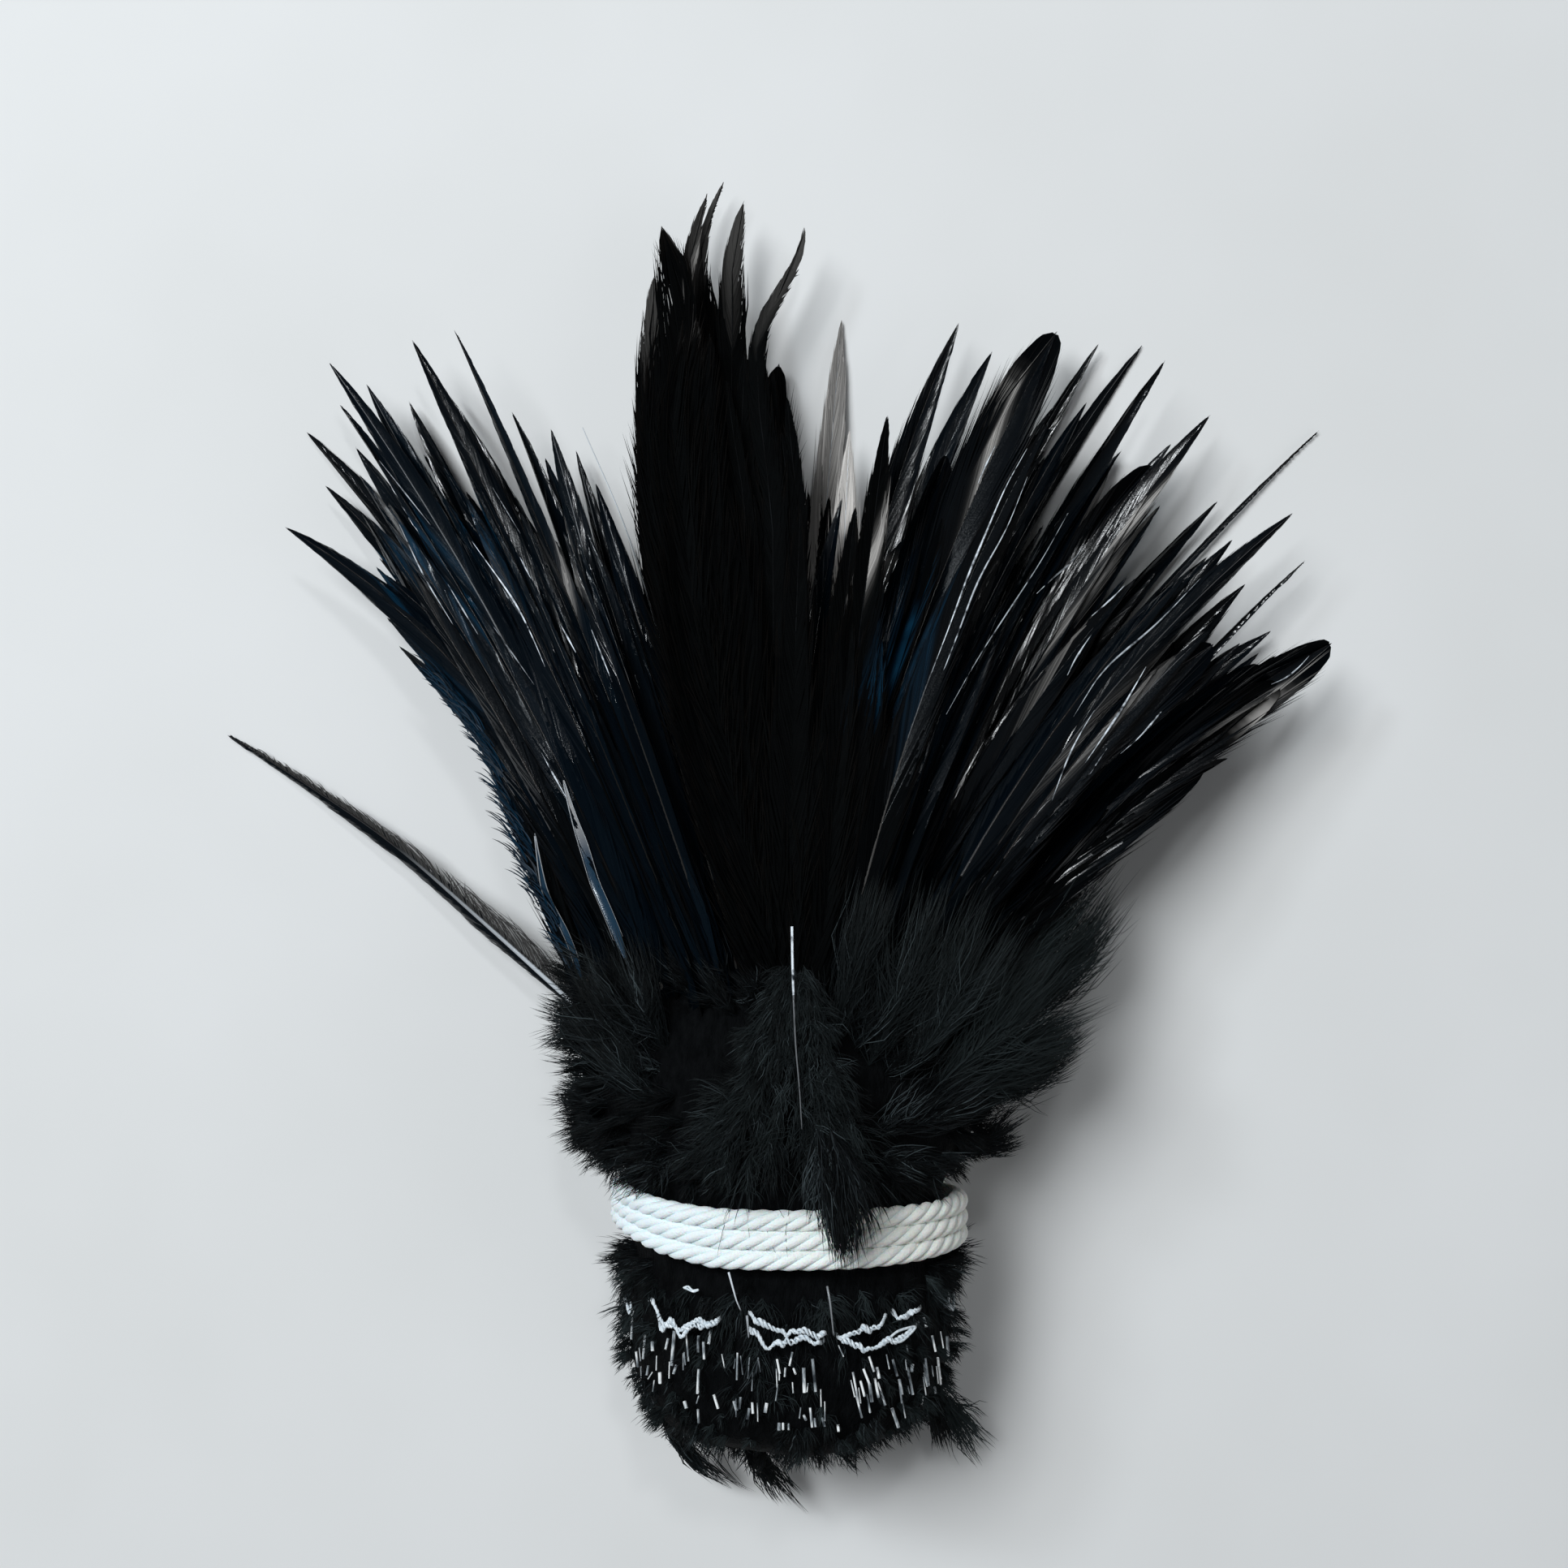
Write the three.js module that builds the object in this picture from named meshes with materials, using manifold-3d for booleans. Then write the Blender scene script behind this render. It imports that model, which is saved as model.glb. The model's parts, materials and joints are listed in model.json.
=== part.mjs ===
// Strung rooster hackle: a strip of dyed black feathers, rolled up, tied with cord and lying down.
// Millimetres, +Z up. The fan of blades points to +Y and the rolled butt to -Y.
// The origin is the middle of the down ruff's flat underside, where the bunch rests.

import * as THREE from 'three';
import { mergeVertices } from 'three/addons/utils/BufferGeometryUtils.js';
import Module from 'manifold-3d';

const wasm = await Module();
wasm.setup();

// Driving dimensions
const BUNDLE_HEIGHT = 38;          // from the floor to the top of the cord
const TIE_WIDTH = 47.3;            // across the bundle, outside the cord
const TIE_Y = -20;                 // the middle of the three turns of cord
const CORD_DIAMETER = 2.4;
const CORD_TURNS = 3;
const CORD_PITCH = 2.45;
const CORD_SIDES = 8;
const CORD_STEPS = 26;              // in one turn
const STEP_SHARE = 0.26;           // share of a turn in which the cord steps to the next one
// The knot, low on the right side: its place in degrees, its size, and its two tails tucked under the roll
const KNOT = { angle: -38, halfLength: 4, halfDepth: 2.2, stand: 1.6 };
const KNOT_TAIL = { bend: [2.4, 3, -2.6], end: [2.6, 5.2, -4.9], thickness: 0.9, steps: 5 };
const THREAD_DIAMETER = 1.1;
const THREAD_Y = -31.5;            // the row of stitches round the roll
const STITCH_STAND = 0.45;         // clearance of the thread from the bottom of its groove
const THREAD_WANDER = 0.25;        // the stitches run a little from side to side
const THREAD_WAVES = 9;
const RUFF_FRONT_Y = 12;           // the blades leave the down ruff here
const FAN_APEX_Y = -20;            // the blades spread from about the tie
const GAP = 0.3;                   // clearance between neighbouring pieces

// Heights of the lowest and the highest layer of blades, at the ruff and at the tips
const ROOT_HEIGHTS = [5.4, 32.6];
const TIP_HEIGHTS = [0.42, 10.2];
const ROOT_RADIUS = 33;            // distance from the apex where the blades start to sink
const TIP_RADIUS = 126;            // distance from the apex where they lie level
const SAG = 0.25;                  // how much more they sink at first, as in a slack line
const BLADE_FILL = 0.62;           // thickness of a blade, as a share of the step between layers
const LAYER_ORDER = [6, 0, 2, 7, 4, 3, 5, 1];   // layers of eight neighbours, from left to right
const ROOT_MARGIN = 3;             // from the outermost blades of a layer to the side of the ruff
const ROOT_FILL = 0.72;            // width of a blade at the ruff, as a share of the room it has

// The blades of the fan, from left to right: tip x, tip y, width, bow and shape.
// The bow is the sideways bend as a share of the length, to the right where it is positive.
const FAN = [
  {
    name: 'left',
    blades: [
      [-69.4, 72.9, 7.5, 0.1, 'pointed'],
      [-68.7, 87.6, 6.5, 0.045, 'pointed'],
      [-65.3, 79.5, 7, 0.07, 'pointed'],
      [-63.6, 95.9, 6.5, 0.03, 'pointed'],
      [-62.8, 90.5, 6.5, 0.04, 'pointed'],
      [-60.8, 84.8, 7.5, 0.05, 'pointed'],
      [-58.8, 93.1, 8, 0.03, 'pointed'],
      [-53.9, 91.8, 8, 0.03, 'pointed'],
      [-52.2, 99, 7, 0.02, 'pointed'],
      [-52, 84.4, 6.5, 0.028, 'pointed'],
      [-48.6, 93, 7, 0.03, 'pointed'],
      [-46.3, 100.5, 4, 0.01, 'slender'],
      [-38.6, 89.3, 7.5, 0.02, 'pointed'],
      [-34, 83, 7, 0.02, 'pointed'],
      [-32.9, 86.5, 6.5, 0.01, 'pointed'],
      [-30.1, 84.6, 6, 0.01, 'pointed'],
      [-26.4, 78.5, 6.5, 0.01, 'pointed'],
    ],
  },
  {
    name: 'crown',
    blades: [
      [-21.5, 90.5, 7, -0.01, 'pointed'],
      [-20.1, 106.7, 9.5, -0.035, 'pointed'],
      [-17.9, 115.2, 9, -0.035, 'rounded'],
      [-11.3, 120.6, 8, -0.03, 'pointed'],
      [-9, 122.7, 8, -0.03, 'pointed'],
      [-6.3, 118.8, 8.5, -0.025, 'pointed'],
      [-1.4, 97, 10.5, -0.03, 'rounded'],
      [2.1, 114.9, 6, -0.03, 'slender'],
      [7.5, 103.6, 7, 0, 'pointed'],
      [8.5, 87.2, 8, 0, 'pointed'],
      [13.4, 87.9, 6.5, 0, 'pointed'],
    ],
  },
  {
    name: 'right',
    blades: [
      [23.7, 101.9, 8, -0.055, 'pointed'],
      [28.5, 98.2, 7.5, -0.05, 'pointed'],
      [37.3, 100.5, 11.5, -0.04, 'rounded'],
      [43.9, 99.9, 7.5, -0.045, 'pointed'],
      [41, 90.1, 7.5, -0.04, 'pointed'],
      [50.6, 100.4, 6, -0.045, 'slender'],
      [45.2, 85.9, 9, -0.04, 'rounded'],
      [51.8, 95.9, 6.5, -0.045, 'pointed'],
      [50.7, 82, 9, -0.045, 'rounded'],
      [53.5, 85.1, 7.5, -0.05, 'pointed'],
      [58.6, 88.8, 7.5, -0.05, 'pointed'],
      [60.6, 77.5, 8, -0.05, 'pointed'],
      [57.3, 68.7, 7.5, -0.05, 'pointed'],
      [75.9, 88.2, 2, -0.03, 'slender'],
      [62.3, 71.8, 7, -0.05, 'pointed'],
      [69.3, 74.8, 7, -0.05, 'pointed'],
      [63.2, 65.2, 8, -0.05, 'pointed'],
      [72.5, 69, 3, -0.04, 'slender'],
      [61.8, 56.8, 8.5, -0.055, 'pointed'],
      [68, 59.1, 7.5, -0.055, 'pointed'],
      [74.3, 56.8, 10.5, -0.06, 'rounded'],
      [62.1, 41.1, 9.5, -0.07, 'pointed'],
    ],
  },
];

// Half-width of a blade along its length: place from root to tip, share of the full width
const OUTLINES = {
  pointed: [
    [0.13, 0.84], [0.27, 0.98], [0.41, 1], [0.54, 0.9], [0.66, 0.76], [0.77, 0.6], [0.87, 0.42], [0.95, 0.2],
  ],
  rounded: [
    [0.15, 0.66], [0.31, 0.78], [0.46, 0.88], [0.6, 0.97], [0.74, 1], [0.85, 0.94], [0.93, 0.74], [0.98, 0.42],
  ],
  slender: [[0.14, 0.96], [0.28, 1], [0.42, 0.92], [0.56, 0.78], [0.7, 0.6], [0.83, 0.42], [0.93, 0.22]],
};
const OUTLINE_WAVE = 0.09;         // uneven edge, as a share of the width

// The packed lower halves of the feathers: y, half-width, lowest and highest z of each section, and
// where they aren't the usual ones its squareness and lumpiness. A lowest z under 0 is cut flat at the floor.
const BASE_SIDES = 26;
const BASE_SQUARENESS = 2.5;       // exponent of the superellipse
const WAIST_SQUARENESS = 2.1;      // the same under the cord, where the roll is squeezed rounder
const LUMPY = 0.035;               // height of the lumps, as a share of the section
const GROOVE = { halfWidth: 22, low: 1.6, high: 35.3 };   // where the stitching draws the roll in
const BASE_SECTIONS = [
  [-51, 10, 11, 25, BASE_SQUARENESS, LUMPY],
  [-49.5, 14.6, 6.5, 30.5, BASE_SQUARENESS, LUMPY],
  [-46.5, 18.6, 2, 34, BASE_SQUARENESS, LUMPY],
  [-42, 21.6, -1.4, 35.8, BASE_SQUARENESS, LUMPY],
  [-36.5, 23, -2, 36.6, BASE_SQUARENESS, LUMPY],
  [-33, 23.4, -1.8, 36.8],
  [-32.5, GROOVE.halfWidth, GROOVE.low, GROOVE.high],
  [-30.5, GROOVE.halfWidth, GROOVE.low, GROOVE.high],
  [-30, 23.2, -1.6, 36.6],
  [-26.6, 22.6, -0.8, 36.2],
  [-25.3, 20.9, 2.7, 35.3, WAIST_SQUARENESS],
  [-14.7, 20.9, 2.7, 35.3, WAIST_SQUARENESS],
  [-13.4, 23.6, -0.6, 36.6],
  [-9.5, 26.4, -1.8, 37.4],
  [-3, 28, -2.4, 37.4, BASE_SQUARENESS, LUMPY],
  [4, 28.6, -2.4, 37.2, BASE_SQUARENESS, LUMPY],
  [9, 28.8, -1.2, 37],
  [RUFF_FRONT_Y, 28, 1.4, 35.8],
];

const COLORS = { vane: 0x0b0e12, down: 0x14181a, cord: 0xe9eaea, thread: 0xd8dde2 };

// A repeatable series of numbers from 0 to 1 for the uneven natural shapes
function makeRandom(seed) {
  let state = seed;
  return () => {
    state = (state * 16807) % 2147483647;
    return state / 2147483647;
  };
}

// Closes a row of rings, each with the same number of points, into one geometry
function skin(rings, startPoint, endPoint) {
  const sides = rings[0].length;
  const points = rings.flat().concat([startPoint, endPoint]);
  const startIndex = points.length - 2;
  const endIndex = points.length - 1;
  const lastRing = (rings.length - 1) * sides;
  const faces = [];
  for (let side = 0; side < sides; side += 1) {
    const next = (side + 1) % sides;
    faces.push(startIndex, next, side);
    faces.push(endIndex, lastRing + side, lastRing + next);
    for (let ring = 0; ring < rings.length - 1; ring += 1) {
      const a = ring * sides + side;
      const b = ring * sides + next;
      faces.push(a, b, b + sides, a, b + sides, a + sides);
    }
  }
  const geometry = new THREE.BufferGeometry().setFromPoints(points);
  geometry.setIndex(faces);
  return facingOut(geometry);
}

// Turns the faces round where the enclosed volume comes out negative
function facingOut(geometry) {
  const place = geometry.getAttribute('position');
  const index = geometry.getIndex().array;
  const [a, b, c] = [new THREE.Vector3(), new THREE.Vector3(), new THREE.Vector3()];
  let volume = 0;
  for (let i = 0; i < index.length; i += 3) {
    a.fromBufferAttribute(place, index[i]);
    b.fromBufferAttribute(place, index[i + 1]);
    c.fromBufferAttribute(place, index[i + 2]);
    volume += a.dot(b.cross(c));
  }
  if (volume < 0) {
    geometry.setIndex(Array.from(index).reverse());
  }
  return geometry;
}

function toSolid(geometry) {
  const bare = geometry.clone();
  bare.deleteAttribute('normal');
  bare.deleteAttribute('uv');
  const merged = mergeVertices(bare, 1e-5);
  return new wasm.Manifold(new wasm.Mesh({
    numProp: 3,
    vertProperties: new Float32Array(merged.getAttribute('position').array),
    triVerts: new Uint32Array(merged.getIndex().array),
  }));
}

function toGeometry(solid) {
  const mesh = solid.getMesh();
  const geometry = new THREE.BufferGeometry();
  geometry.setAttribute('position', new THREE.BufferAttribute(new Float32Array(mesh.vertProperties), 3));
  geometry.setIndex(new THREE.BufferAttribute(new Uint32Array(mesh.triVerts), 1));
  return geometry;
}

// Height of a layer's middle and the thickness of its blades, at a place in plan
function layerAt(layer, x, y) {
  const radius = Math.hypot(x, y - FAN_APEX_Y);
  const share = THREE.MathUtils.clamp((radius - ROOT_RADIUS) / (TIP_RADIUS - ROOT_RADIUS), 0, 1);
  const sunk = share * (1 + SAG * (1 - share));
  const low = THREE.MathUtils.lerp(ROOT_HEIGHTS[0], TIP_HEIGHTS[0], sunk);
  const high = THREE.MathUtils.lerp(ROOT_HEIGHTS[1], TIP_HEIGHTS[1], sunk);
  const step = (high - low) / (LAYER_ORDER.length - 1);
  return { height: low + step * layer, thickness: step * BLADE_FILL };
}

// One lozenge section across a blade: left edge, keel, right edge and ridge
function bladeRing(centre, across, leftHalf, rightHalf, thickness) {
  return [
    centre.clone().addScaledVector(across, -leftHalf),
    centre.clone().setZ(centre.z - thickness / 2),
    centre.clone().addScaledVector(across, rightHalf),
    centre.clone().setZ(centre.z + thickness / 2),
  ];
}

// Where a blade leaves the ruff: the blades of one layer stand side by side across it
function rootOf(index, layer) {
  const layers = LAYER_ORDER.length;
  const bladeCount = FAN.reduce((sum, group) => sum + group.blades.length, 0);
  const inLayer = Math.ceil((bladeCount - (index % layers)) / layers);
  const place = Math.floor(index / layers);
  const [, halfWidth, low, high] = BASE_SECTIONS[BASE_SECTIONS.length - 1];
  const height = layerAt(layer, 0, RUFF_FRONT_Y).height;
  const fromMiddle = Math.abs((2 * height - high - low) / (high - low));
  const reach = halfWidth * (1 - fromMiddle ** BASE_SQUARENESS) ** (1 / BASE_SQUARENESS) - ROOT_MARGIN;
  const spacing = (2 * reach) / (inLayer - 1);
  return { rootX: place * spacing - reach, rootWidth: ROOT_FILL * spacing };
}

function hackleBlade([tipX, tipY, width, bow, shape], index) {
  const layer = LAYER_ORDER[index % LAYER_ORDER.length];
  const { rootX, rootWidth } = rootOf(index, layer);
  const root = new THREE.Vector2(rootX, RUFF_FRONT_Y + GAP);
  const tip = new THREE.Vector2(tipX, tipY);
  const along = tip.clone().sub(root);
  const sideways = new THREE.Vector2(along.y, -along.x).multiplyScalar(2 * bow);
  const bend = root.clone().lerp(tip, 0.5).add(sideways);
  const line = new THREE.QuadraticBezierCurve(root, bend, tip);
  const rings = OUTLINES[shape].map(([place, share], station) => {
    const point = line.getPoint(place);
    const heading = line.getTangent(place);
    const across = new THREE.Vector3(heading.y, -heading.x, 0);
    const { height, thickness } = layerAt(layer, point.x, point.y);
    const half = (width * share) / 2;
    const wave = OUTLINE_WAVE * Math.sin(5 * station + 2.3 * index);
    const centre = new THREE.Vector3(point.x, point.y, height);
    return bladeRing(centre, across, half * (1 + wave), half * (1 - wave), thickness);
  });
  const rootLevel = layerAt(layer, root.x, root.y);
  const rootCentre = new THREE.Vector3(root.x, root.y, rootLevel.height);
  const rootAcross = new THREE.Vector3(1, 0, 0);
  rings.unshift(bladeRing(rootCentre, rootAcross, rootWidth / 2, rootWidth / 2, rootLevel.thickness));
  const tipPoint = new THREE.Vector3(tip.x, tip.y, layerAt(layer, tip.x, tip.y).height);
  return skin(rings, rootCentre, tipPoint);
}

// A feather lying free: sections along a curve, each as wide and thick as its row says
function freeFeather(points, sections) {
  const line = new THREE.CatmullRomCurve3(points);
  const rings = sections.map(([place, width, thickness]) => {
    const heading = line.getTangent(place);
    const across = new THREE.Vector3(heading.y, -heading.x, 0).normalize();
    return bladeRing(line.getPoint(place), across, width / 2, width / 2, thickness);
  });
  return skin(rings, line.getPoint(sections[0][0]), line.getPoint(1));
}

// The feather that lies apart on the left, seen half from its edge
function strayHackle() {
  const points = [
    new THREE.Vector3(-30.4, 7.6, 8.5),
    new THREE.Vector3(-42.5, 18.2, 7),
    new THREE.Vector3(-55.6, 29.1, 4.6),
    new THREE.Vector3(-68.5, 37.6, 2.2),
    new THREE.Vector3(-80.1, 44.7, 0.6),
  ];
  const sections = [
    [0, 2, 1], [0.12, 4.2, 1.1], [0.28, 4.6, 1.1], [0.44, 4.2, 1], [0.6, 3.4, 0.9], [0.76, 2.4, 0.8],
    [0.9, 1.3, 0.6],
  ];
  return freeFeather(points, sections);
}

// The small feather upside down on the ruff: bare quill ahead, down hanging back over the cord
function turnedFeather() {
  const points = [
    new THREE.Vector3(0.5, 19.6, 38.9),
    new THREE.Vector3(0.7, 7, 39.9),
    new THREE.Vector3(1.2, -6, 40.3),
    new THREE.Vector3(4, -16, 40),
    new THREE.Vector3(8, -23, 39.2),
  ];
  const sections = [
    [0, 0.8, 0.8], [0.14, 2.4, 1.1], [0.3, 6.5, 1.6], [0.46, 11.5, 2], [0.6, 17, 2.2], [0.72, 16, 2],
    [0.84, 10, 1.6], [0.94, 6, 1.2],
  ];
  return freeFeather(points, sections);
}

function superellipseSection(y, halfWidth, low, high, squareness = BASE_SQUARENESS, lumpiness = 0) {
  const middle = (low + high) / 2;
  const halfHeight = (high - low) / 2;
  const power = 2 / squareness;
  const points = [];
  for (let side = 0; side < BASE_SIDES; side += 1) {
    const angle = (side / BASE_SIDES) * 2 * Math.PI;
    const c = Math.cos(angle);
    const s = Math.sin(angle);
    const lump = 1 + lumpiness * (0.6 * Math.sin(3 * angle + 0.5 * y) + 0.4 * Math.sin(5 * angle - 0.8 * y));
    const x = lump * halfWidth * Math.sign(c) * Math.abs(c) ** power;
    const z = middle + lump * halfHeight * Math.sign(s) * Math.abs(s) ** power;
    points.push(new THREE.Vector3(x, y, Math.max(z, 0)));
  }
  return points;
}

const LOCK_FLATNESS = 0.42;
const LOCK_FOOT = 3.5;             // depth of a lock's foot under the surface
// Locks standing round the roll: y of the feet, reach along y, reach outward, width and places
// round the roll in degrees from its right side
const LOCK_ROWS = [
  { y: -10, ahead: 9, out: 5.2, width: 7, angles: [-22, 0, 22, 44, 136, 158, 180, 202] },
  { y: -3.5, ahead: 9, out: 4.6, width: 7.5, angles: [-12, 10, 32, 54, 126, 148, 170, 192] },
  { y: 2, ahead: 7, out: 3.8, width: 7, angles: [-24, -4, 18, 38, 142, 162, 184, 204] },
  { y: -29.4, ahead: 1.4, out: 3, width: 3, angles: [-8, 24, 56, 88, 120, 152, 184] },
  { y: -35.5, ahead: -7.5, out: 2.8, width: 6, angles: [-14, 6, 26, 48, 72, 108, 132, 154, 174, 194] },
  { y: -42.5, ahead: -8, out: 2.2, width: 6, angles: [-4, 18, 42, 66, 90, 114, 138, 162, 184] },
];
// Locks and wisps placed one by one: foot, tip, width and lift of the middle
const LONE_LOCKS = [
  [[-19, 1, 31], [-29, 18, 31], 7, 3],
  [[-12, 1, 34], [-18, 21, 32.5], 7, 3.4],
  [[12, 1, 34], [17, 24, 32], 7, 4],
  [[18, 1, 32], [29, 22, 30.5], 7.5, 3.6],
  [[22, -2, 27], [37, 10.5, 27], 8, 1],
  [[22, -6, 15], [46, 5.5, 7], 9, 0],
  [[24, -9, 22], [35, -3, 20], 7, 0],
  [[20, -11.5, 22], [31.5, -10.5, 20], 4, 0],
  [[-15, -45, 8], [-7, -61.5, 3.5], 3.4, 0],
  [[-3, -45, 9], [2, -64, 4], 3.6, 0],
  [[19, -42, 10], [21.5, -56, 6], 3, 0],
  [[19, -44, 8], [27.5, -56, 4.5], 4.4, 0],
];
// Cut quill ends in two rows on the back of the roll: y of the row and the spacing across it
const STUB_ROWS = [
  { y: -38, reach: 17, count: 15 },
  { y: -44.6, reach: 12, count: 8 },
];
const STUB_SIZE = { width: 0.7, depth: 2.4, tilt: 0.12 };
// The back of the roll, where the stubs lie: its top, and how it falls away to the sides and the end
const ROLL_BACK = { top: 36, sideRadius: 24, sideFall: 14, endY: -40, endFall: 0.35 };

// A tuft of down: flat, four-sided, widest in the middle, its foot inside the packed feathers
function lock(foot, tip, width, lift = 0) {
  const heading = tip.clone().sub(foot).normalize();
  const middle = foot.clone().lerp(tip, 0.5);
  const outward = new THREE.Vector3(middle.x, 0, middle.z - BUNDLE_HEIGHT / 2).normalize();
  const across = outward.clone().cross(heading).normalize();
  const upward = heading.clone().cross(across);
  const ringAt = (centre, half) => [
    centre.clone().addScaledVector(across, -half),
    centre.clone().addScaledVector(upward, -half * LOCK_FLATNESS),
    centre.clone().addScaledVector(across, half),
    centre.clone().addScaledVector(upward, half * LOCK_FLATNESS),
  ];
  middle.z += lift;
  return skin([ringAt(foot, width * 0.35), ringAt(middle, width * 0.5)], foot, tip);
}

function quillStub(x, y, length) {
  const angle = Math.asin(THREE.MathUtils.clamp(x / ROLL_BACK.sideRadius, -1, 1));
  const sideFall = ROLL_BACK.sideFall * (1 - Math.cos(angle));
  const endFall = ROLL_BACK.endFall * Math.max(0, ROLL_BACK.endY - y);
  const box = new THREE.BoxGeometry(STUB_SIZE.width, length, STUB_SIZE.depth);
  box.rotateX(STUB_SIZE.tilt);
  box.translate(x, y, ROLL_BACK.top - sideFall - endFall);
  return box;
}

function packedQuillsAndDown() {
  const random = makeRandom(71);
  const sections = BASE_SECTIONS.map((row) => superellipseSection(...row));
  const middleOf = ([y, , low, high]) => new THREE.Vector3(0, y, (Math.max(low, 0) + high) / 2);
  const start = middleOf(BASE_SECTIONS[0]);
  const end = middleOf(BASE_SECTIONS[BASE_SECTIONS.length - 1]);
  const solids = [toSolid(skin(sections, start, end))];
  for (const row of LOCK_ROWS) {
    const [, halfWidth, low, high] = BASE_SECTIONS.reduce((near, candidate) => (
      Math.abs(candidate[0] - row.y) < Math.abs(near[0] - row.y) ? candidate : near));
    for (const degrees of row.angles) {
      const angle = THREE.MathUtils.degToRad(degrees + (random() - 0.5) * 8);
      const out = row.out * (0.8 + 0.4 * random());
      const ahead = row.ahead * (0.85 + 0.2 * random());
      const place = (grow, y) => new THREE.Vector3(
        (halfWidth + grow) * Math.cos(angle),
        y,
        BUNDLE_HEIGHT / 2 + ((high - low) / 2 + grow) * Math.sin(angle),
      );
      solids.push(toSolid(lock(place(-LOCK_FOOT, row.y), place(out, row.y + ahead), row.width)));
    }
  }
  for (const [foot, tip, width, lift] of LONE_LOCKS) {
    solids.push(toSolid(lock(new THREE.Vector3(...foot), new THREE.Vector3(...tip), width, lift)));
  }
  for (const row of STUB_ROWS) {
    for (let i = 0; i < row.count; i += 1) {
      const x = THREE.MathUtils.lerp(-row.reach, row.reach, i / (row.count - 1)) + (random() - 0.5) * 0.8;
      solids.push(toSolid(quillStub(x, row.y + (random() - 0.5) * 2, 3 + 2 * random())));
    }
  }
  return toGeometry(wasm.Manifold.union(solids));
}

// A section for a cord or a thread, pushed along its route
function roundSection(diameter, sides) {
  const shape = new THREE.Shape();
  for (let side = 0; side < sides; side += 1) {
    const angle = ((side + 0.5) / sides) * 2 * Math.PI;
    const x = (diameter / 2) * Math.cos(angle);
    const y = (diameter / 2) * Math.sin(angle);
    if (side === 0) {
      shape.moveTo(x, y);
    } else {
      shape.lineTo(x, y);
    }
  }
  return shape;
}

class TieRoute extends THREE.Curve {
  // Three turns round the waist, from and to the knot low on the right side.
  // Each turn runs straight round and steps to the next one close to the knot.
  getPoint(share) {
    const turn = share * CORD_TURNS;
    const angle = THREE.MathUtils.degToRad(KNOT.angle) + turn * 2 * Math.PI;
    const nearest = Math.round(turn);
    const step = THREE.MathUtils.clamp((turn - nearest) / STEP_SHARE, -0.5, 0.5);
    const halfWidth = (TIE_WIDTH - CORD_DIAMETER) / 2;
    const halfHeight = (BUNDLE_HEIGHT - CORD_DIAMETER) / 2;
    const power = 2 / WAIST_SQUARENESS;
    const [c, s] = [Math.cos(angle), Math.sin(angle)];
    return new THREE.Vector3(
      halfWidth * Math.sign(c) * Math.abs(c) ** power,
      TIE_Y + (nearest + step - CORD_TURNS / 2) * CORD_PITCH,
      BUNDLE_HEIGHT / 2 + halfHeight * Math.sign(s) * Math.abs(s) ** power,
    );
  }
}

function tieCord() {
  const turns = new THREE.ExtrudeGeometry(roundSection(CORD_DIAMETER, CORD_SIDES), {
    steps: CORD_STEPS * CORD_TURNS,
    extrudePath: new TieRoute(),
  });
  const ends = [new TieRoute().getPoint(0), new TieRoute().getPoint(1)];
  const knotMiddle = ends[0].clone().lerp(ends[1], 0.5);
  const outward = new THREE.Vector3(knotMiddle.x, 0, knotMiddle.z - BUNDLE_HEIGHT / 2).normalize();
  const knot = new THREE.SphereGeometry(1, 8, 6);
  knot.scale(KNOT.halfDepth, KNOT.halfLength, KNOT.halfDepth);
  const knotPlace = knotMiddle.clone().addScaledVector(outward, KNOT.stand);
  knot.translate(knotPlace.x, knotPlace.y, knotPlace.z);
  const solids = [toSolid(turns), toSolid(knot)];
  for (const side of [-1, 1]) {
    const mirror = new THREE.Vector3(1, side, 1);
    const route = new THREE.QuadraticBezierCurve3(
      knotPlace.clone(),
      knotPlace.clone().add(new THREE.Vector3(...KNOT_TAIL.bend).multiply(mirror)),
      knotPlace.clone().add(new THREE.Vector3(...KNOT_TAIL.end).multiply(mirror)),
    );
    const section = roundSection(CORD_DIAMETER * KNOT_TAIL.thickness, CORD_SIDES);
    solids.push(toSolid(new THREE.ExtrudeGeometry(section, { steps: KNOT_TAIL.steps, extrudePath: route })));
  }
  return toGeometry(wasm.Manifold.union(solids));
}

// Middle of the thread at an angle round the roll: it keeps clear of the groove that it lies in
function stitchPoint(angle) {
  const stand = STITCH_STAND + THREAD_DIAMETER / 2;
  const power = 2 / BASE_SQUARENESS;
  const [c, s] = [Math.cos(angle), Math.sin(angle)];
  const halfWidth = GROOVE.halfWidth + stand;
  const halfHeight = (GROOVE.high - GROOVE.low) / 2 + stand;
  return new THREE.Vector3(
    halfWidth * Math.sign(c) * Math.abs(c) ** power,
    THREAD_Y + THREAD_WANDER * Math.sin(THREAD_WAVES * angle),
    (GROOVE.high + GROOVE.low) / 2 + halfHeight * Math.sign(s) * Math.abs(s) ** power,
  );
}

function stitchThread() {
  const steps = 44;
  const sides = 5;
  const radius = THREAD_DIAMETER / 2;
  const rings = [];
  for (let step = 0; step < steps; step += 1) {
    const around = (step / steps) * 2 * Math.PI;
    const centre = stitchPoint(around);
    const outward = new THREE.Vector3(Math.cos(around), 0, Math.sin(around));
    const ring = [];
    for (let side = 0; side < sides; side += 1) {
      const angle = (side / sides) * 2 * Math.PI;
      const point = centre.clone().addScaledVector(outward, radius * Math.cos(angle));
      ring.push(point.setY(point.y + radius * Math.sin(angle)));
    }
    rings.push(ring);
  }
  return closedLoop(rings);
}

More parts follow.
